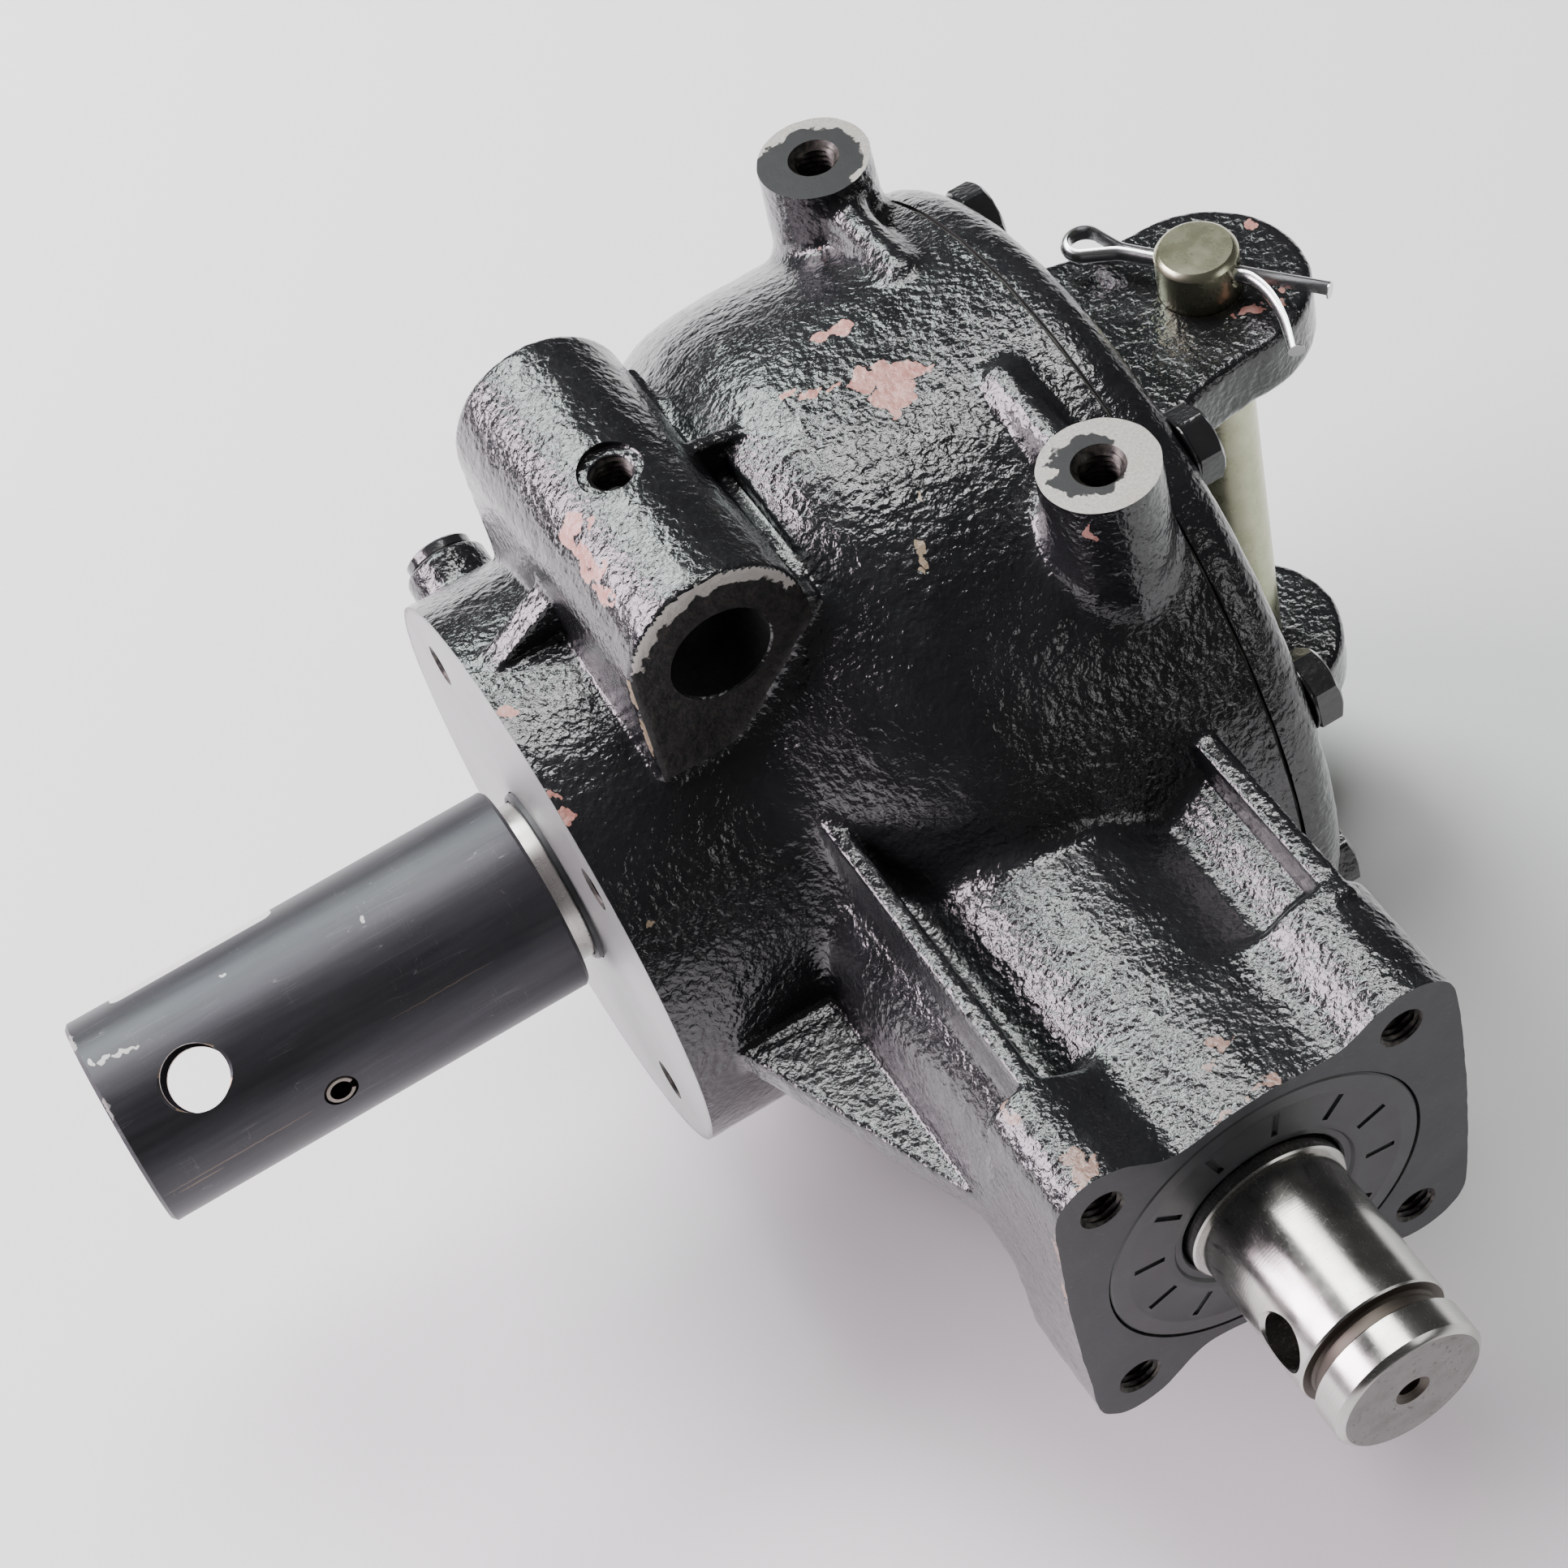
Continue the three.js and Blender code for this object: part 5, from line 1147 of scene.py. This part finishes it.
# ------------------------------------------------------------------ clevis pin and split cotter
mat_clevis = zinc_mat("clevis_yellow_zinc", (0.47, 0.47, 0.31), (0.62, 0.61, 0.45), 0.26)
cpin = turned("lifting_clevis_pin", [(-80.6, 0), (-80.6, 12.0), (-79.9, 13.2), (-79.2, 13.5), (-74.0, 13.5), (-73.4, 13.1), (-73.2, 12.6), (-73.2, 9.9), (-72.8, 9.5), (80.2, 9.5), (81.2, 8.9), (81.7, 8.2), (81.7, 0)], "z", 128, centre=(102.7, 0, 0))
ca = R(-54.8)
cd = np.array([math.cos(ca), math.sin(ca), 0])
cs = np.array([-cd[1], cd[0], 0])
PIN = np.array([102.7, 0, 0.0])
CZ = 76.0
def cp(s, side=0.0, z=CZ):
    return tuple(PIN + cd * s + cs * side + np.array([0, 0, z]))
boolean(cpin, [along("cutter", cp(-15), cp(15), [(0, 0), (0, 3.6), (5.6, 3.2), (6.4, 2.45), (23.6, 2.45), (24.4, 3.2), (30, 3.6), (30, 0)], 48)])
sharpen(cpin, 28)
cpin.data.materials.clear()
cpin.data.materials.append(mat_clevis)
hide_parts("clevis_pin"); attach(cpin, "lift_pin")

def sweep_d(name, pts, rad):
    """half-round wire swept along pts, its round side to the right of travel, ends slightly rounded"""
    pts = [np.array(p, float) for p in pts]
    sec = [(rad * math.cos(R(t)), rad * 1.02 * math.sin(R(t))) for t in np.linspace(-84, 84, 15)] + [(0.06, 0.72 * rad), (0.0, 0.0), (0.06, -0.72 * rad)]
    verts, n = [], len(sec)
    up = np.array([0, 0, 1.0])
    m = len(pts)
    for i, p in enumerate(pts):
        a, b = pts[max(i - 1, 0)], pts[min(i + 1, m - 1)]
        t = (b - a) / np.linalg.norm(b - a)
        right = np.cross(t, up); right /= np.linalg.norm(right)
        w = np.cross(right, t)
        k = 0.8 if i in (0, m - 1) else 1.0
        for u, v in sec:
            verts.append(p + right * u * k + w * v * k)
    faces = []
    for i in range(m - 1):
        for j in range(n):
            k = (j + 1) % n
            faces.append((i * n + j, i * n + k, (i + 1) * n + k, (i + 1) * n + j))
    faces.append(tuple(range(n)))
    faces.append(tuple(range((m - 1) * n + n - 1, (m - 1) * n - 1, -1)))
    return fix_normals(new_mesh(name, verts, faces))
eye_c = np.array(cp(-27.5))
path = [cp(30.4, 0.35), cp(30.1, 0.35), cp(20, 0.18), cp(11, 0.05), cp(0, 0.05), cp(-11, 0.05), cp(-17.5, 0.1), cp(-20.4, 0.75)]
for t in np.linspace(-28, 208, 17):
    path.append(tuple(eye_c + 3.35 * (math.cos(R(t)) * cs - math.sin(R(t)) * cd)))
path += [cp(-20.4, -0.75), cp(-17.5, -0.1), cp(-11, -0.05), cp(0, -0.05), cp(9.0, -0.05), (110.2, -11.2, CZ - 0.1), (110.9, -17.5, CZ - 0.8), (109.5, -25.0, CZ - 1.8), (106.5, -32.2, CZ - 2.9), (106.4, -32.5, CZ - 2.95)]
cot = sweep_d("split_cotter", catmull(path, 4), 1.95)
sharpen(cot, 40)
cot.data.materials.clear()
cot.data.materials.append(zinc_mat("cotter_bright_zinc", (0.66, 0.67, 0.68), (0.80, 0.80, 0.80), 0.24))
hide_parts("cotter_pin"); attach(cot, "lift_pin")

# ------------------------------------------------------------------ inner pieces keep their CAD shape with real finishes
mat_bearing = steel("bearing_ground_steel", (0.60, 0.61, 0.62), 0.14, scratch=False, stain_amt=0.05)
mat_plain = steel("inner_steel", (0.5, 0.49, 0.47), 0.32)
for name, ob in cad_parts.items():
    if name.startswith(("output_bearing", "input_bearing")) and name.endswith(("cup", "cone", "rollers")):
        m = mat_bearing
    elif name == "crown_gear":
        m = mat_gear
    elif name in ("crown_gear_key", "input_bearing_spacer", "input_cup_spacer", "input_retaining_nut"):
        m = mat_plain
    elif name == "cover_gasket":
        m = gasket_mat()
    else:
        continue
    if not ob.material_slots:
        ob.data.materials.append(None)
    for s in ob.material_slots:
        s.material = m

# ------------------------------------------------------------------ stage, light, camera
def stage_floor():
    bm = bmesh.new()
    bmesh.ops.create_grid(bm, x_segments=2, y_segments=2, size=6.0)
    me = bpy.data.meshes.new("floor")
    bm.to_mesh(me)
    bm.free()
    ob = bpy.data.objects.new("floor", me)
    ob.location = (0, 0, -0.0005)
    bpy.context.scene.collection.objects.link(ob)
    M = Mat("pale_floor")
    M.set(Base_Color=M.mix(M.noise(3, 2), (0.92, 0.92, 0.92), (0.95, 0.95, 0.95)), Roughness=0.9)
    ob.data.materials.append(M.m)
stage_floor()

def area(name, loc, target, size, power, color=(1, 1, 1), shape="RECTANGLE", size_y=None):
    l = bpy.data.lights.new(name, "AREA")
    l.energy, l.color, l.shape, l.size = power, color, shape, size
    l.size_y = size_y or size
    o = bpy.data.objects.new(name, l)
    o.location = loc
    o.rotation_mode = "QUATERNION"
    o.rotation_quaternion = (Vector(target) - Vector(loc)).to_track_quat("-Z", "Y")
    bpy.context.scene.collection.objects.link(o)
    return o
C = Vector(ORIGIN)
T = C + Vector((0.0, -0.02, 0.0))
# two window-like softboxes behind the object, a pink-white one to the left and a green-white one overhead
area("window_left", C + Vector((-1.40, 0.80, 1.0)), T, 1.15, 74, (1.0, 0.86, 0.955), size_y=1.05)
area("window_back", C + Vector((-0.32, 1.50, 1.50)), T, 1.15, 42, (0.90, 1.0, 0.965), size_y=0.85)
area("top_back", C + Vector((0.25, 0.75, 2.5)), T, 1.5, 46, (1.0, 1.0, 1.0), size_y=0.8)
area("front_low", C + Vector((1.3, -2.0, 0.9)), T, 1.0, 5, (1.0, 1.0, 1.0), size_y=0.8)

world = bpy.data.worlds.new("studio")
bpy.context.scene.world = world
world.use_nodes = True
bg = world.node_tree.nodes["Background"]
bg.inputs[0].default_value = (1.0, 1.0, 1.0, 1)
bg.inputs[1].default_value = 0.075

cam = bpy.data.cameras.new("camera")
co = bpy.data.objects.new("camera", cam)
bpy.context.scene.collection.objects.link(co)
bpy.context.scene.camera = co
cam.sensor_width = 36
cam.lens = 4182.07 / 1932 * 36
cam.clip_start, cam.clip_end = 0.05, 20
right = Vector((0.85516642, -0.48408533, -0.18534237))
up = Vector((0.489832, 0.63771688, 0.59445924))
back = Vector((-0.16957304, -0.5991482, 0.78247455))
m = Matrix(((right.x, up.x, back.x), (right.y, up.y, back.y), (right.z, up.z, back.z)))
co.rotation_mode = "QUATERNION"
co.rotation_quaternion = m.to_quaternion()
co.location = C + Vector((-0.16021081692, -0.48085042771, 0.61490064425))
